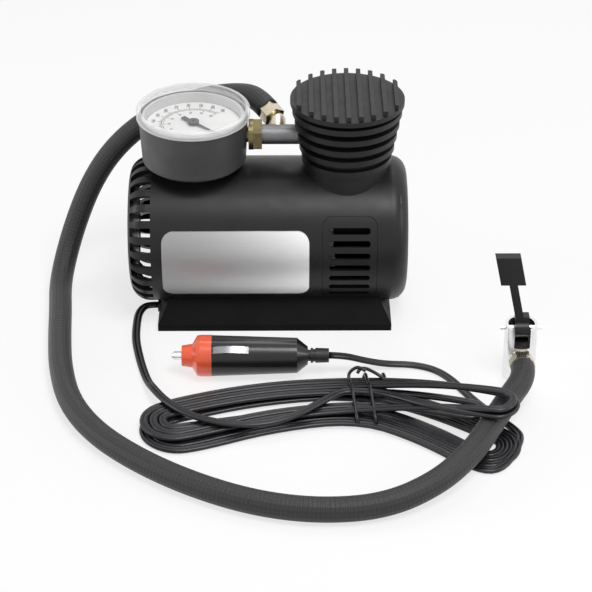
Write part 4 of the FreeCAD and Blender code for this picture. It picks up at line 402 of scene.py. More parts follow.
@dataclass(frozen=True)
class Finishes:
    """Every finish of the inflator, in a maker's words."""

    housing: Plastic = Plastic("housing_black", (0.012, 0.012, 0.0125), 0.38, depth=0.000016, shine=0.32)
    # Darker and duller than the housing: painted shade for the housing's shadow on the foot.
    foot: Plastic = Plastic("foot_black_painted_shade", (0.005, 0.005, 0.005), 0.5, shine=0.08)
    head: Plastic = Plastic("head_black_casting", (0.010, 0.010, 0.0105), 0.46, 0.0009, 0.00003, shine=0.38)
    gauge: Plastic = Plastic("gauge_case_black", (0.058, 0.058, 0.059), 0.42)
    boot: Plastic = Plastic("boot_rubber", (0.012, 0.012, 0.013), 0.5)
    cord: Plastic = Plastic("cord_jacket", (0.010, 0.010, 0.013), 0.33, 0.0012, 0.000012)
    tie: Plastic = Plastic("tie_sleeve", (0.006, 0.006, 0.007), 0.28)
    lever: Plastic = Plastic("lever_black", (0.006, 0.006, 0.0065), 0.36, shine=0.35)
    plug: Plastic = Plastic("plug_body_black", (0.007, 0.007, 0.0075), 0.30, 0.0012, 0.000008,
                            gloss=0.3, shine=0.35)
    cap: Plastic = Plastic("plug_cap_orange", (0.98, 0.125, 0.042), 0.30, 0.0012, 0.000008, 0.08, 0.5)
    seal: Plastic = Plastic("seal_soft_black", (0.022, 0.022, 0.022), 0.7)
    dial: Plastic = Plastic("dial_card", (0.93, 0.93, 0.92),
                             0.8, drift=0.02, depth=0.000004, shine=0.1)
    liner: Plastic = Plastic("gauge_liner_pale", (0.68, 0.68, 0.68), 0.7, drift=0.04)
    ink: Plastic = Plastic("dial_ink", (0.09, 0.09, 0.095), 0.8, shine=0.1)
    # The needle is black; its grey colour is a painted reflection.
    needle: Plastic = Plastic("needle_painted_reflection", (0.06, 0.06, 0.062), 0.5)
    nylon: Plastic = Plastic("white_nylon", (0.72, 0.70, 0.64), 0.45, drift=0.05)
    # The plate's run from grey to silver is a painted sheen, standing in for reflected light.
    plate: Foil = Foil("plate_foil", (0.38, 0.38, 0.385), (0.96, 0.96, 0.965), -0.054, 0.021, 0.5)
    tube: Metal = Metal("tube_grey", (0.22, 0.22, 0.225), (0.17, 0.17, 0.175), 0.5)
    brass: Metal = Metal("brass_dull", (0.21, 0.175, 0.09), (0.14, 0.12, 0.065), 0.34)
    pale_brass: Metal = Metal("brass_pale", (0.74, 0.67, 0.52), (0.56, 0.49, 0.36), 0.26)
    plating: Metal = Metal("nickel_plating", (0.88, 0.88, 0.89), (0.78, 0.78, 0.79), 0.2)
    contact: Metal = Metal("contact_plating", (0.34, 0.34, 0.36), (0.25, 0.25, 0.27), 0.28)
    steel: Metal = Metal("steel_turned", (0.56, 0.56, 0.57), (0.42, 0.42, 0.43), 0.32)
    alloy: Metal = Metal("alloy_cast", (0.52, 0.52, 0.53), (0.40, 0.40, 0.41), 0.48)
    copper: Metal = Metal("copper_wire", (0.72, 0.38, 0.22), (0.50, 0.25, 0.14), 0.35)
    braid: Braid = Braid("hose_braid", (0.010, 0.010, 0.0105))
    lens: Window = Window("window_clear", (0.94, 0.945, 0.95), (-0.03795, 0.0), 0.0264, 0.0272)
    fuse: Clear = Clear("fuse_tube_glass", (0.95, 0.97, 0.97), 0.05)


FINISHES = Finishes()
Finish = Plastic | Metal | Foil | Braid | Clear | Window


def painted(piece: bpy.types.Object, finish: Finish) -> bpy.types.Object:
    """Give a piece one material, made once for each finish.

    Args:
        piece: The object to dress.
        finish: What it is made of.

    Returns:
        The same object.
    """
    material = bpy.data.materials.get(finish.name) or finish.material()
    if piece.material_slots:
        for slot in piece.material_slots:
            slot.material = material
    else:
        piece.data.materials.append(material)
    return piece


def dress(frame: dict, finish: Finish, *nodes: str) -> None:
    """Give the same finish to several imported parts.

    Args:
        frame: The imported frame.
        finish: What they are made of.
        nodes: The parts' names.
    """
    for node in nodes:
        painted(frame["nodes"][node], finish)
        log.info("%s: %s", node, finish.name)


def deselect() -> None:
    """Leave nothing selected."""
    bpy.ops.object.select_all(action="DESELECT")


def take(piece: bpy.types.Object) -> bpy.types.Object:
    """Make one object the only selected and active one.

    Args:
        piece: The object.

    Returns:
        The same object.
    """
    deselect()
    piece.select_set(True)
    bpy.context.view_layer.objects.active = piece
    return piece


def settle(piece: bpy.types.Object, name: str) -> bpy.types.Object:
    """Name a finished piece and move its place into its mesh.

    Args:
        piece: The object.
        name: Its name.

    Returns:
        The same object.
    """
    take(piece)
    piece.name = piece.data.name = name
    bpy.ops.object.transform_apply(location=True, rotation=True, scale=True)
    return piece


def joined(pieces: list[bpy.types.Object], name: str) -> bpy.types.Object:
    """Join meshes into one named piece.

    Args:
        pieces: The meshes.
        name: The piece's name.

    Returns:
        The joined object.
    """
    take(pieces[0])
    for piece in pieces[1:]:
        piece.select_set(True)
    if len(pieces) > 1:
        bpy.ops.object.join()
    return settle(bpy.context.view_layer.objects.active, name)


def centreline(route: list[Vector], steps: int) -> list[Vector]:
    """Points of the smooth curve that a cord's route controls.

    Args:
        route: The control points, in metres.
        steps: Points of the curve for each control point.

    Returns:
        The points that the cord follows.
    """
    curve = bpy.data.curves.new("route", "CURVE")
    curve.dimensions = "3D"
    spline = curve.splines.new("NURBS")
    spline.points.add(len(route) - 1)
    for point, place in zip(spline.points, route):
        point.co = (*place, 1)
    spline.order_u = 3
    spline.use_endpoint_u = True
    spline.resolution_u = steps
    holder = bpy.data.objects.new("route", curve)
    bpy.context.scene.collection.objects.link(holder)
    line = bpy.data.meshes.new_from_object(holder)
    points = [vertex.co.copy() for vertex in line.vertices]
    bpy.data.objects.remove(holder)
    bpy.data.meshes.remove(line)
    bpy.data.curves.remove(curve)
    return points


def length_of(points: list[Vector]) -> float:
    """The length of a line of points."""
    return sum((b - a).length for a, b in zip(points, points[1:]))


def swept(points: list[Vector], outline: list[tuple[float, float]], name: str,
          upright: bool) -> bpy.types.Object:
    """A cord's skin along a line of points, with its length and girth in metres as UV.

    Args:
        points: The line that the cord follows.
        outline: The cord's section, as distances to the side and upwards.
        name: The piece's name.
        upright: True for a flat cord, whose width stays level.

    Returns:
        The new mesh object.
    """
    shape = bmesh.new()
    uv = shape.loops.layers.uv.new("UVMap")
    girth = [0.0]
    for (x0, y0), (x1, y1) in zip(outline, outline[1:] + outline[:1]):
        girth.append(girth[-1] + math.hypot(x1 - x0, y1 - y0))
    rings: list[list[bmesh.types.BMVert]] = []
    along = [0.0]
    side = Vector((0, 0, 1)).cross(points[1] - points[0]).normalized()
    for index, place in enumerate(points):
        ahead = (points[min(index + 1, len(points) - 1)] - points[max(index - 1, 0)]).normalized()
        side = Vector((0, 0, 1)).cross(ahead) if upright else side - ahead * side.dot(ahead)
        side.normalize()
        up = ahead.cross(side)
        rings.append([shape.verts.new(place + side * x + up * y) for x, y in outline])
        if index:
            along.append(along[-1] + (place - points[index - 1]).length)
    count = len(outline)
    for row, (first, second) in enumerate(zip(rings, rings[1:])):
        for column in range(count):
            following = (column + 1) % count
            face = shape.faces.new((first[column], first[following], second[following], second[column]))
            face.smooth = True
            corners = ((column, row), (column + 1, row), (column + 1, row + 1), (column, row + 1))
            for loop, (around, step) in zip(face.loops, corners):
                loop[uv].uv = (girth[around], along[step])
    for ring in (rings[0][::-1], rings[-1]):
        shape.faces.new(ring)
    bmesh.ops.recalc_face_normals(shape, faces=shape.faces)
    mesh = bpy.data.meshes.new(name)
    shape.to_mesh(mesh)
    shape.free()
    piece = bpy.data.objects.new(name, mesh)
    bpy.context.scene.collection.objects.link(piece)
    return piece


def ring_outline(radius: float, sides: int) -> list[tuple[float, float]]:
    """A round section.

    Args:
        radius: Its radius, in metres.
        sides: How many corners it has.

    Returns:
        Its corners, as distances to the side and upwards.
    """
    return [(radius * math.cos(2 * math.pi * i / sides), radius * math.sin(2 * math.pi * i / sides))
            for i in range(sides)]


@dataclass
class Casing:
    """The barrel, its vents, its bare plate and its foot."""

    frame: dict

    def build(self) -> None:
        """Dress the moulded halves, the grille, the foot and the plate."""
        dress(self.frame, FINISHES.housing, "housing_front", "housing_rear", "vent_grille")
        dress(self.frame, FINISHES.foot, "foot")
        dress(self.frame, FINISHES.plate, "nameplate")
        dress(self.frame, FINISHES.steel, "screws")


@dataclass
class Pump:
    """The finned head, the outlet and its fittings."""

    frame: dict

    def build(self) -> None:
        """Dress the head and the fittings."""
        dress(self.frame, FINISHES.head, "cylinder_head")
        dress(self.frame, FINISHES.tube, "outlet_tube")
        dress(self.frame, FINISHES.brass, "gauge_nut", "gauge_stem")
        dress(self.frame, FINISHES.pale_brass, "hose_nut", "hose_elbow")
        dress(self.frame, FINISHES.brass, "valve_plate")
        dress(self.frame, FINISHES.steel, "cylinder_sleeve", "reed_valve")
        dress(self.frame, FINISHES.seal, "head_gasket", "piston_ring")


@dataclass
class Drive:
    """The motor, its gears and the crank, all inside."""

    frame: dict

    def build(self) -> None:
        """Dress the inner pieces."""
        dress(self.frame, FINISHES.steel, "motor_can", "motor_shaft", "crank_shaft", "rod_pins",
              "drive_pinion", "armature_core")
        dress(self.frame, FINISHES.nylon, "crank_gear", "motor_end_cap")
        dress(self.frame, FINISHES.alloy, "gear_frame", "connecting_rod", "piston")
        dress(self.frame, FINISHES.copper, "armature_copper", "motor_brushes")
        dress(self.frame, FINISHES.seal, "motor_magnets")
        dress(self.frame, FINISHES.brass, "shaft_bushes")


@dataclass
class Gauge:
    """The pressure gauge: its case, window, printed dial, needle and movement.

    The dial's own top points to -X, away from its stem.
    """

    frame: dict
    middle: Vector = mm(-37.95, 0.1239, 82.1005)
    tilt: float = math.radians(0.5)
    dial_height: float = 20.2 * MM
    mouth_height: float = 25.4 * MM
    liner_outer: float = 26.3 * MM
    liner_inner: float = 24.75 * MM
    ink_thick: float = 0.04 * MM
    first_angle: float = 225.0
    sweep: float = 270.0
    outer_step: int = 20
    outer_top: int = 300
    outer_radius: float = 20.9 * MM
    inner_step: int = 2
    inner_top: int = 20
    inner_radius: float = 12.4 * MM
    ring_radius: float = 16.6 * MM
    ring_gap: float = 0.9 * MM
    outer_ring_width: float = 0.3 * MM
    inner_ring_width: float = 0.2 * MM
    outer_reach: float = 2.2 * MM
    inner_reach: float = -1.7 * MM
    short_share: float = 0.55
    long_width: float = 0.28 * MM
    short_width: float = 0.16 * MM
    outer_parts: int = 4
    inner_parts: int = 2
    figure_height: float = 2.6 * MM
    inner_figure_share: float = 0.85
    figure_weight: float = 0.012
    arc_steps: int = 72
    liner_steps: int = 96

    def lifted(self, height: float) -> Matrix:
        """The matrix to the row frame from a flat frame at a height in the gauge."""
        return (Matrix.Translation(self.middle) @ Matrix.Rotation(self.tilt, 4, "X")
                @ Matrix.Translation((0, 0, height)) @ Matrix.Rotation(math.radians(90), 4, "Z"))

    def angle(self, share: float) -> float:
        """The angle on the dial, in radians, of a share of the full scale."""
        return math.radians(self.first_angle - self.sweep * share)

    def figure(self, text: str, radius: float, share: float, height: float) -> bpy.types.Object:
        """One number, standing upright on the dial.

        Args:
            text: The number.
            radius: How far from the dial's middle it stands.
            share: Its place as a share of the full scale.
            height: Its height.

        Returns:
            The number's mesh.
        """
        deselect()
        bpy.ops.object.text_add(location=(0, 0, 0))
        made = bpy.context.object
        made.data.body = text
        made.data.size = height
        made.data.align_x = "CENTER"
        made.data.align_y = "CENTER"
        made.data.extrude = self.ink_thick / 2
        made.data.offset = height * self.figure_weight
        angle = self.angle(share)
        bpy.ops.object.convert(target="MESH")
        made = bpy.context.object
        made.location = (radius * math.cos(angle), radius * math.sin(angle), self.ink_thick / 2)
        return made

    def tick(self, share: float, start: float, end: float, width: float) -> bpy.types.Object:
        """One printed line of the scale, along a radius.

        Args:
            share: Its place as a share of the full scale.
            start: The radius at which it begins.
            end: The radius at which it ends.
            width: Its width.

        Returns:
            The line's mesh.
        """
        deselect()
        bpy.ops.mesh.primitive_cube_add(size=1.0, location=(0, 0, 0))
        made = bpy.context.object
        made.dimensions = (end - start, width, self.ink_thick)
        bpy.ops.object.transform_apply(location=False, rotation=False, scale=True)
        angle = self.angle(share)
        middle = (start + end) / 2
        made.location = (middle * math.cos(angle), middle * math.sin(angle), self.ink_thick / 2)
        made.rotation_euler = (0, 0, angle)
        return made

    def arc(self, radius: float, width: float) -> bpy.types.Object:
        """The printed line that a scale stands on, over the sweep of the needle.

        Args:
            radius: Its radius.
            width: Its width.

        Returns:
            The line's mesh.
        """
        shape = bmesh.new()
        rows = []
        for step in range(self.arc_steps + 1):
            angle = self.angle(step / self.arc_steps)
            across = Vector((math.cos(angle), math.sin(angle), 0))
            rows.append([shape.verts.new(across * (radius + side * width / 2) + Vector((0, 0, height)))
                         for side, height in ((-1, 0), (1, 0), (1, self.ink_thick), (-1, self.ink_thick))])
        for first, second in zip(rows, rows[1:]):
            for i in range(4):
                shape.faces.new((first[i], first[(i + 1) % 4], second[(i + 1) % 4], second[i]))
        for row in (rows[0], rows[-1]):
            shape.faces.new(row)
        bmesh.ops.recalc_face_normals(shape, faces=shape.faces)
        mesh = bpy.data.meshes.new("dial_arc")
        shape.to_mesh(mesh)
        shape.free()
        made = bpy.data.objects.new("dial_arc", mesh)
        bpy.context.scene.collection.objects.link(made)
        return made

    def scale(self, top: int, step: int, parts: int, radius: float, height: float, start: float,
              reach: float) -> list[bpy.types.Object]:
        """One scale of numbers and lines.

        Args:
            top: The last number.
            step: From one number to the next.
            parts: How many small divisions each step has.
            radius: Where the numbers stand.
            height: The height of a number.
            start: The radius at which the lines begin.
            reach: How long the long lines are, inwards where it is negative.

        Returns:
            The printed pieces.
        """
        made = []
        for value in range(0, top + 1, step):
            made.append(self.figure(str(value), radius, value / top, height))
        lines = top // step * parts
        for index in range(lines + 1):
            long_one = index % parts == 0
            share = 1.0 if long_one else self.short_share
            width = self.long_width if long_one else self.short_width
            made.append(self.tick(index / lines, start, start + reach * share, width))
        return made

    def build_liner(self) -> None:
        """The pale ring between the dial and the window, inside the case's mouth."""
        wall = [(self.liner_inner, self.dial_height), (self.liner_outer, self.dial_height),
                (self.liner_outer, self.mouth_height), (self.liner_inner, self.mouth_height)]
        shape = bmesh.new()
        rows = []
        for step in range(self.liner_steps):
            angle = 2 * math.pi * step / self.liner_steps
            rows.append([shape.verts.new((radius * math.cos(angle), radius * math.sin(angle), height))
                         for radius, height in wall])
        for first, second in zip(rows, rows[1:] + rows[:1]):
            for i in range(len(wall)):
                following = (i + 1) % len(wall)
                shape.faces.new((first[i], first[following], second[following], second[i]))
        bmesh.ops.recalc_face_normals(shape, faces=shape.faces)
        mesh = bpy.data.meshes.new("gauge_liner")
        shape.to_mesh(mesh)
        shape.free()
        liner = bpy.data.objects.new("gauge_liner", mesh)
        bpy.context.scene.collection.objects.link(liner)
        liner.data.transform(self.lifted(0.0))
        painted(liner, FINISHES.liner)
        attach(liner, "root")

    def build(self) -> None:
        """Dress the gauge and print its dial."""
        self.build_liner()
        dress(self.frame, FINISHES.gauge, "gauge_case")
        dress(self.frame, FINISHES.lens, "gauge_lens")
        dress(self.frame, FINISHES.dial, "dial_face")
        dress(self.frame, FINISHES.needle, "needle")
        dress(self.frame, FINISHES.brass, "needle_spindle", "gauge_sector", "movement_frame", "bourdon_tube")
        inner_ring = self.ring_radius - self.ring_gap
        print_pieces = [self.arc(self.ring_radius, self.outer_ring_width),
                        self.arc(inner_ring, self.inner_ring_width)]
        print_pieces += self.scale(self.outer_top, self.outer_step, self.outer_parts, self.outer_radius,
                                   self.figure_height, self.ring_radius, self.outer_reach)
        print_pieces += self.scale(self.inner_top, self.inner_step, self.inner_parts, self.inner_radius,
                                   self.figure_height * self.inner_figure_share, inner_ring,
                                   self.inner_reach)
        printed = joined(print_pieces, "dial_print")
        printed.data.transform(self.lifted(self.dial_height))
        painted(printed, FINISHES.ink)
        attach(printed, "root")
        log.info("dial_print: %d faces", len(printed.data.polygons))


@dataclass
class AirHose:
    """The braided hose and the lever chuck on its end. The route is a given list."""

    frame: dict
    radius: float = 6.0 * MM
    sides: int = 40
    steps: int = 10
    route: tuple[tuple[float, float, float], ...] = (
        (0.3, 17.2, 101.6), (-5.3, 26.3, 104.3), (-14.5, 34.5, 102.6), (-31.0, 40.5, 98.0),
        (-50.0, 42.0, 91.2), (-69.0, 40.5, 81.4), (-84.5, 36.5, 67.4),
        (-95.5, 32.0, 51.0), (-104.0, 26.5, 31.5), (-110.0, 17.5, 14.0), (-112.0, 0.0, 6.0),
        (-109.5, -25.0, 6.0), (-107.5, -52.0, 6.0), (-104.5, -80.0, 6.0), (-97.5, -110.0, 6.0),
        (-83.0, -136.0, 6.0), (-61.0, -158.5, 6.0), (-34.0, -178.0, 6.0), (-4.0, -192.5, 6.0),
        (26.0, -198.0, 6.0), (55.0, -194.5, 6.3), (79.0, -181.0, 9.0), (96.5, -160.0, 10.9),
        (107.5, -137.0, 10.8), (117.5, -116.0, 11.0), (126.5, -102.6, 14.6), (126.5, -93.6, 14.6),
    )

    def build(self) -> None:
        """Lay the hose and dress the chuck."""
        points = centreline([mm(*place) for place in self.route], self.steps)
        hose = swept(points, ring_outline(self.radius, self.sides), "air_hose", False)
        painted(hose, FINISHES.braid)
        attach(hose, "root")
        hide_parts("hose")
        log.info("air_hose: %.3f m", length_of(points))
        dress(self.frame, FINISHES.pale_brass, "hose_ferrule")
        dress(self.frame, FINISHES.plating, "chuck_body", "chuck_pin")
        dress(self.frame, FINISHES.lever, "chuck_lever", "chuck_plunger")
        dress(self.frame, FINISHES.seal, "chuck_gasket")


@dataclass
class TwistTie:
    """The wire that goes twice round the hank's waist, with both ends twisted up on top.

    The ring is its path once round, as distances across and upwards. The ends are places from its left side.
    """

    hank_middle: tuple[float, float]
    radius: float = 0.85 * MM
    sides: int = 12
    steps: int = 6
    rounds: int = 2
    spread: float = 9.0
    shift: float = 4.5
    ring: tuple[tuple[float, float], ...] = (
        (8.0, 8.6), (2.8, 10.4), (-3.6, 10.2), (-10.0, 8.2), (-18.6, 7.0), (-20.9, 4.0), (-19.0, 0.92),
        (-9.0, 0.92), (1.0, 0.92), (10.0, 0.92), (17.0, 0.92), (18.9, 4.2), (17.0, 7.6),
    )
    first_end: tuple[tuple[float, float, float], ...] = (
        (8.0, 9.5, 13.8), (5.0, 11.5, 15.0), (2.0, 12.0, 13.5), (-0.5, 11.0, 11.0),
    )
    last_end: tuple[tuple[float, float, float], ...] = (
        (15.5, 11.0, 9.8), (12.0, 12.0, 11.6), (8.0, 12.5, 13.6), (5.0, 11.5, 13.8), (4.0, 10.0, 12.0),
    )

    def route(self) -> list[Vector]:
        """The way of the wire from one end to the other.

        Returns:
            Its control points, in metres.
        """
        left = self.hank_middle[0] - self.spread + self.shift
        middle_y = self.hank_middle[1]
        step_x = self.spread / len(self.ring)
        made = [mm(left + along, middle_y + across, height) for along, across, height in self.first_end]
        for step in range(self.rounds * len(self.ring) + 1):
            across, height = self.ring[step % len(self.ring)]
            made.append(mm(left + step * step_x, middle_y + across, height))
        made += [mm(left + along, middle_y + across, height) for along, across, height in self.last_end]
        return made

    def build(self) -> None:
        """Lay the wire."""
        points = centreline(self.route(), self.steps)
        tie = swept(points, ring_outline(self.radius, self.sides), "twist_tie", False)
        painted(tie, FINISHES.tie)
        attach(tie, "root")
        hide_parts("cord_tie")
        log.info("twist_tie: %.3f m", length_of(points))


@dataclass
class PowerCord:
    """The flat twin cord from the foot to the plug, most of it wound in a hank, with its tie."""

    frame: dict
    lobe: float = 1.15 * MM
    lobe_offset: float = 1.05 * MM
    web: float = 0.72 * MM
    groove: float = 0.28 * MM
    lobe_corners: int = 8
    steps: int = 5
    hank_middle: tuple[float, float] = (45.0, -105.0)
    bend: float = 192.0
    right: float = 72.0
    pitch: float = 4.6
    left_inner: float = 5.4
    high_left: float = 91.0
    high_left_shift: float = 3.0
    low_left: float = 91.0
    low_left_shift: float = -0.5
    low_inner: float = 5.4
    low_shift: float = -26.0
    high_inner: float = 5.2
    high_pitch: float = 1.7
    high_shift: float = -14.5
    high_right_z: float = 18.6
    high_rise: float = 2.6
    short_below: float = 1.2
    short_right: float = 55.5
    short_shift: float = -5.3
    short_z: float = 6.4
    floor_z: float = 1.3
    layer: float = 2.8
    waist_lift: float = 1.2
    start_z: float = 8.4
    high_steps: int = 23
    low_steps: int = 26
    corner_reach: float = 1.06
    lead: tuple[tuple[float, float, float], ...] = (
        (-58.75, -14.5, 2.3), (-63.75, -14.5, 2.2),
        (-66.6, -16.4, 1.9), (-68.8, -22.0, 1.5), (-69.2, -32.0, 1.3), (-68.8, -46.8, 1.3),
        (-66.4, -61.0, 1.3),
        (-63.6, -74.0, 1.3), (-60.4, -86.5, 2.0), (-56.8, -98.0, 5.6), (-50.5, -110.5, 7.0),
        (-39.5, -122.5, 7.2), (-23.0, -131.0, 7.4), (-4.0, -132.5, 7.6), (13.0, -126.0, 7.9),
        (26.0, -114.5, 8.2), (36.0, -105.0, 8.4),
    )
    tail: tuple[tuple[float, float, float], ...] = (
        (30.75, -76.5, 10.6), (38.75, -76.5, 10.4), (49.0, -74.5, 6.0), (60.0, -72.0, 2.2),
        (73.0, -71.0, 1.3), (84.5, -75.5, 1.3), (92.5, -85.0, 1.3), (98.0, -96.0, 1.3), (105.0, -108.0, 1.3),
        (113.0, -119.0, 1.3), (120.0, -128.0, 1.3), (122.8, -136.0, 1.3),
    )

    def bowed(self, along: float, across: float, height: float) -> Vector:
        """A place on the hank, which is laid out straight and then bent to a bow.

        Args:
            along: How far it lies to the right of the waist, in millimetres.
            across: How far it lies behind the hank's line.
            height: Its height.

        Returns:
            The place, in metres.
        """
        angle = along / self.bend
        reach = self.bend + across
        return mm(self.hank_middle[0] + reach * math.sin(angle),
                  self.hank_middle[1] - self.bend + reach * math.cos(angle), height)

    def right_end(self, turn: float, high: bool) -> tuple[float, float, float, float]:
        """The right end of one turn.

        In the upper layer the two outer turns lie over the hose and the inner one stops short of it.

        Args:
            turn: How many turns out from the inner one.
            high: True in the upper layer.

        Returns:
            Its middle along and across, half its width, and its height.
        """
        if not high:
            return self.right, self.low_shift, self.low_inner + turn * self.pitch, self.floor_z
        width = self.high_inner + turn * self.high_pitch
        if turn < self.short_below:
            return self.short_right, self.short_shift, width, self.short_z
        height = self.high_right_z + self.high_rise * (self.high_steps / 8 - turn)
        return self.right, self.high_shift, width, height

    def loop_place(self, step: float, turn: float, high: bool) -> tuple[float, float, float]:
        """A control place on a loop.

        Args:
            step: From 0 at the waist's front, 1 to 3 round the right end, 4 at the waist's back, 5 to 7
                round the left end.
            turn: How many turns out from the inner one.
            high: True in the upper layer, whose right end lies over the hose.

        Returns:
            Distances along and across the hank, and the height, in millimetres.
        """
        low_z = self.floor_z + (self.layer if high else 0.0)
        if step in (0, 4):
            side = -1 if step == 0 else 1
            return (0.0, side * (turn + 0.5) * self.pitch, low_z + self.waist_lift)
        if 1 <= step <= 3:
            middle, shift, width, right_z = self.right_end(turn, high)
            angle = math.radians(90 * (step - 2))
            reach = width * (self.corner_reach if step not in (1, 3) else 1.0)
            return (middle + reach * math.cos(angle), shift + reach * math.sin(angle), right_z)
        if 5 <= step <= 7:
            width = self.left_inner + turn * self.pitch
            middle, shift = self.low_left, self.low_left_shift
            if high:
                middle, shift = self.high_left, self.high_left_shift
            angle = math.radians(90 * (step - 4))
            reach = width * (self.corner_reach if step not in (5, 7) else 1.0)
            return (-middle + reach * math.cos(angle), shift + reach * math.sin(angle), low_z)
        before = self.loop_place(math.floor(step), turn, high)
        after = self.loop_place(math.ceil(step) % 8, turn, high)
        return tuple((a + b) / 2 for a, b in zip(before, after))

    def hank_route(self) -> list[Vector]:
        """The loops, of which the upper layer spirals in and the lower one out again.

        Returns:
            Their control points, in metres.
        """
        first_turn = self.high_steps / 8
        first = self.loop_place(1, first_turn, True)
        made = [self.bowed(0, 0, self.start_z), self.bowed(14, -2.5, self.start_z + 0.6),
                self.bowed(self.right / 2, first[1] * 0.8, first[2] - 3.0)]
        for half in range(2 * self.high_steps - 1):
            step = (1 + half / 2) % 8
            made.append(self.bowed(*self.loop_place(step, first_turn - half / 16, True)))
        for half in range(2 * self.low_steps + 1):
            made.append(self.bowed(*self.loop_place(half / 2 % 8, half / 16, False)))
        return made

    def outline(self) -> list[tuple[float, float]]:
        """The section of a flat twin cord: two round lobes with a groove between them.

        Returns:
            Its corners, as distances to the side and upwards.
        """
        open_angle = math.acos(-(self.lobe_offset - self.groove) / self.lobe)
        right = []
        for i in range(self.lobe_corners + 1):
            angle = -open_angle + 2 * open_angle * i / self.lobe_corners
            right.append((self.lobe_offset + self.lobe * math.cos(angle), self.lobe * math.sin(angle)))
        left = [(-x, -y) for x, y in right]
        return [(0.0, -self.web)] + right + [(0.0, self.web)] + left

    def build(self) -> None:
        """Lay the cord, tie the hank and dress the pieces on it."""
        lead = [mm(*place) for place in self.lead]
        tail = [mm(*place) for place in self.tail]
        route = lead + self.hank_route()[:-1] + tail[::-1]
        points = centreline(route, self.steps)
        cord = swept(points, self.outline(), "power_cord", True)
        painted(cord, FINISHES.cord)
        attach(cord, "root")
        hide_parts("cord_lead", "cord_hank", "cord_tail")
        log.info("power_cord: %.3f m", length_of(points))
        TwistTie(self.hank_middle).build()
        dress(self.frame, FINISHES.cap, "plug_cap")
        dress(self.frame, FINISHES.plug, "plug_body")
        dress(self.frame, FINISHES.boot, "plug_boot", "cord_gland")
        dress(self.frame, FINISHES.plating, "plug_pin")
        dress(self.frame, FINISHES.contact, "contact_front", "contact_rear")
        dress(self.frame, FINISHES.fuse, "plug_fuse")
        dress(self.frame, FINISHES.steel, "plug_spring")


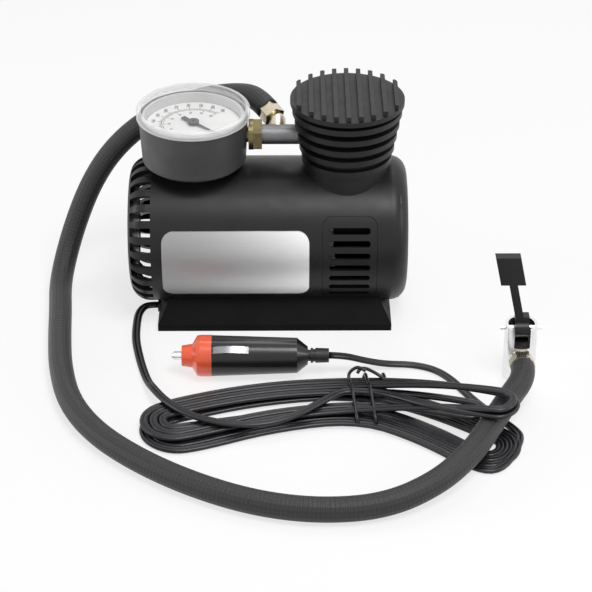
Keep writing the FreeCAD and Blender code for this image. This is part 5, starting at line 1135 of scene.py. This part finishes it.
@dataclass
class Studio:
    """The floor, the light and the camera, none of which is part of the inflator."""

    position: Vector = mm(9.55, -927.2, 571.8)
    elevation: float = math.radians(31.729)
    yaw: float = math.radians(0.311)
    focal_pixels: float = 2021.134
    picture_pixels: float = 592.0
    sensor: float = 36.0
    floor_size: float = 30.0
    floor_drop: float = 0.2 * MM
    floor_glow: float = 0.72
    soft_light: float = 0.3

    def camera(self) -> None:
        """A camera at the photograph's viewing angle."""
        data = bpy.data.cameras.new("camera")
        data.sensor_width = self.sensor
        data.lens = self.focal_pixels / self.picture_pixels * self.sensor
        data.clip_end = 100
        camera = bpy.data.objects.new("camera", data)
        camera.location = self.position
        camera.rotation_euler = (math.radians(90) - self.elevation, 0, -self.yaw)
        bpy.context.scene.collection.objects.link(camera)
        bpy.context.scene.camera = camera

    def seen(self, tree: bpy.types.NodeTree) -> bpy.types.NodeSocket:
        """Tell what the camera sees from the light on the object.

        Args:
            tree: The nodes of the floor or the world.

        Returns:
            1 where the camera, gloss or glass looks, and 0 elsewhere.
        """
        path = tree.nodes.new("ShaderNodeLightPath")
        result = path.outputs["Is Camera Ray"]
        for ray in ("Is Glossy Ray", "Is Transmission Ray"):
            larger = tree.nodes.new("ShaderNodeMath")
            larger.operation = "MAXIMUM"
            tree.links.new(result, larger.inputs[0])
            tree.links.new(path.outputs[ray], larger.inputs[1])
            result = larger.outputs[0]
        return result

    def floor(self) -> None:
        """A white floor that keeps the object's shadow."""
        deselect()
        bpy.ops.mesh.primitive_plane_add(size=self.floor_size, location=(0, 0, -self.floor_drop))
        floor = bpy.context.object
        floor.name = "floor"
        shader = Shader("floor_white")
        shader.set({"Base Color": (1.0, 1.0, 1.0, 1), "Roughness": 0.9, "Specular IOR Level": 0.1})
        glow = shader.node("ShaderNodeEmission", {"Color": (1, 1, 1, 1), "Strength": 1.0})
        mix = shader.node("ShaderNodeMixShader")
        share = shader.maths("MULTIPLY", self.seen(shader.tree), self.floor_glow)
        shader.link(share, mix.inputs[0])
        shader.link(shader.principled.outputs[0], mix.inputs[1])
        shader.link(glow.outputs[0], mix.inputs[2])
        shader.link(mix.outputs[0], shader.tree.nodes["Material Output"].inputs["Surface"])
        floor.data.materials.append(shader.material)

    def world(self) -> None:
        """Soft grey light all round, and white where the camera, gloss and glass look."""
        world = bpy.data.worlds.new("studio")
        world.use_nodes = True
        bpy.context.scene.world = world
        tree = world.node_tree
        background = tree.nodes["Background"]
        background.inputs["Color"].default_value = (1, 1, 1, 1)
        strength = tree.nodes.new("ShaderNodeMapRange")
        strength.inputs["To Min"].default_value = self.soft_light
        strength.inputs["To Max"].default_value = 1.0
        tree.links.new(self.seen(tree), strength.inputs["Value"])
        tree.links.new(strength.outputs["Result"], background.inputs["Strength"])

    def lamp(self, name: str, place: tuple[float, float, float], size: float, power: float) -> None:
        """A square soft lamp that faces the inflator.

        Args:
            name: The lamp's name.
            place: Where it stands, in metres.
            size: The length of its side, in metres.
            power: Its power, in watts.
        """
        data = bpy.data.lights.new(name, "AREA")
        data.size = size
        data.energy = power
        lamp = bpy.data.objects.new(name, data)
        lamp.location = place
        lamp.rotation_euler = (Vector((0, -0.05, 0.05)) - Vector(place)).to_track_quat("-Z", "Y").to_euler()
        bpy.context.scene.collection.objects.link(lamp)

    def build(self) -> None:
        """Set up the whole studio."""
        self.camera()
        self.floor()
        self.world()
        self.lamp("key", (0.3, -0.5, 1.25), 0.55, 9.0)
        self.lamp("right", (1.1, -0.25, 0.4), 0.35, 1.8)
        self.lamp("left", (-1.1, -0.1, 0.4), 0.4, 3.0)
        self.lamp("rim", (0.1, 0.75, 1.35), 0.6, 3.5)
        bpy.context.scene.view_settings.view_transform = "Standard"
        log.info("studio: ready")


def corners(box: tuple[Vector, Vector]) -> list[list[float]]:
    """A box as plain lists of numbers."""
    return [list(corner) for corner in box]


def main() -> None:
    """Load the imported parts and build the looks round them."""
    logging.basicConfig(level=logging.INFO, format="%(message)s")
    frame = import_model()
    Studio().build()
    PowerCord(frame).build()
    AirHose(frame).build()
    Gauge(frame).build()
    Casing(frame).build()
    Pump(frame).build()
    Drive(frame).build()


if __name__ == "__main__":
    main()
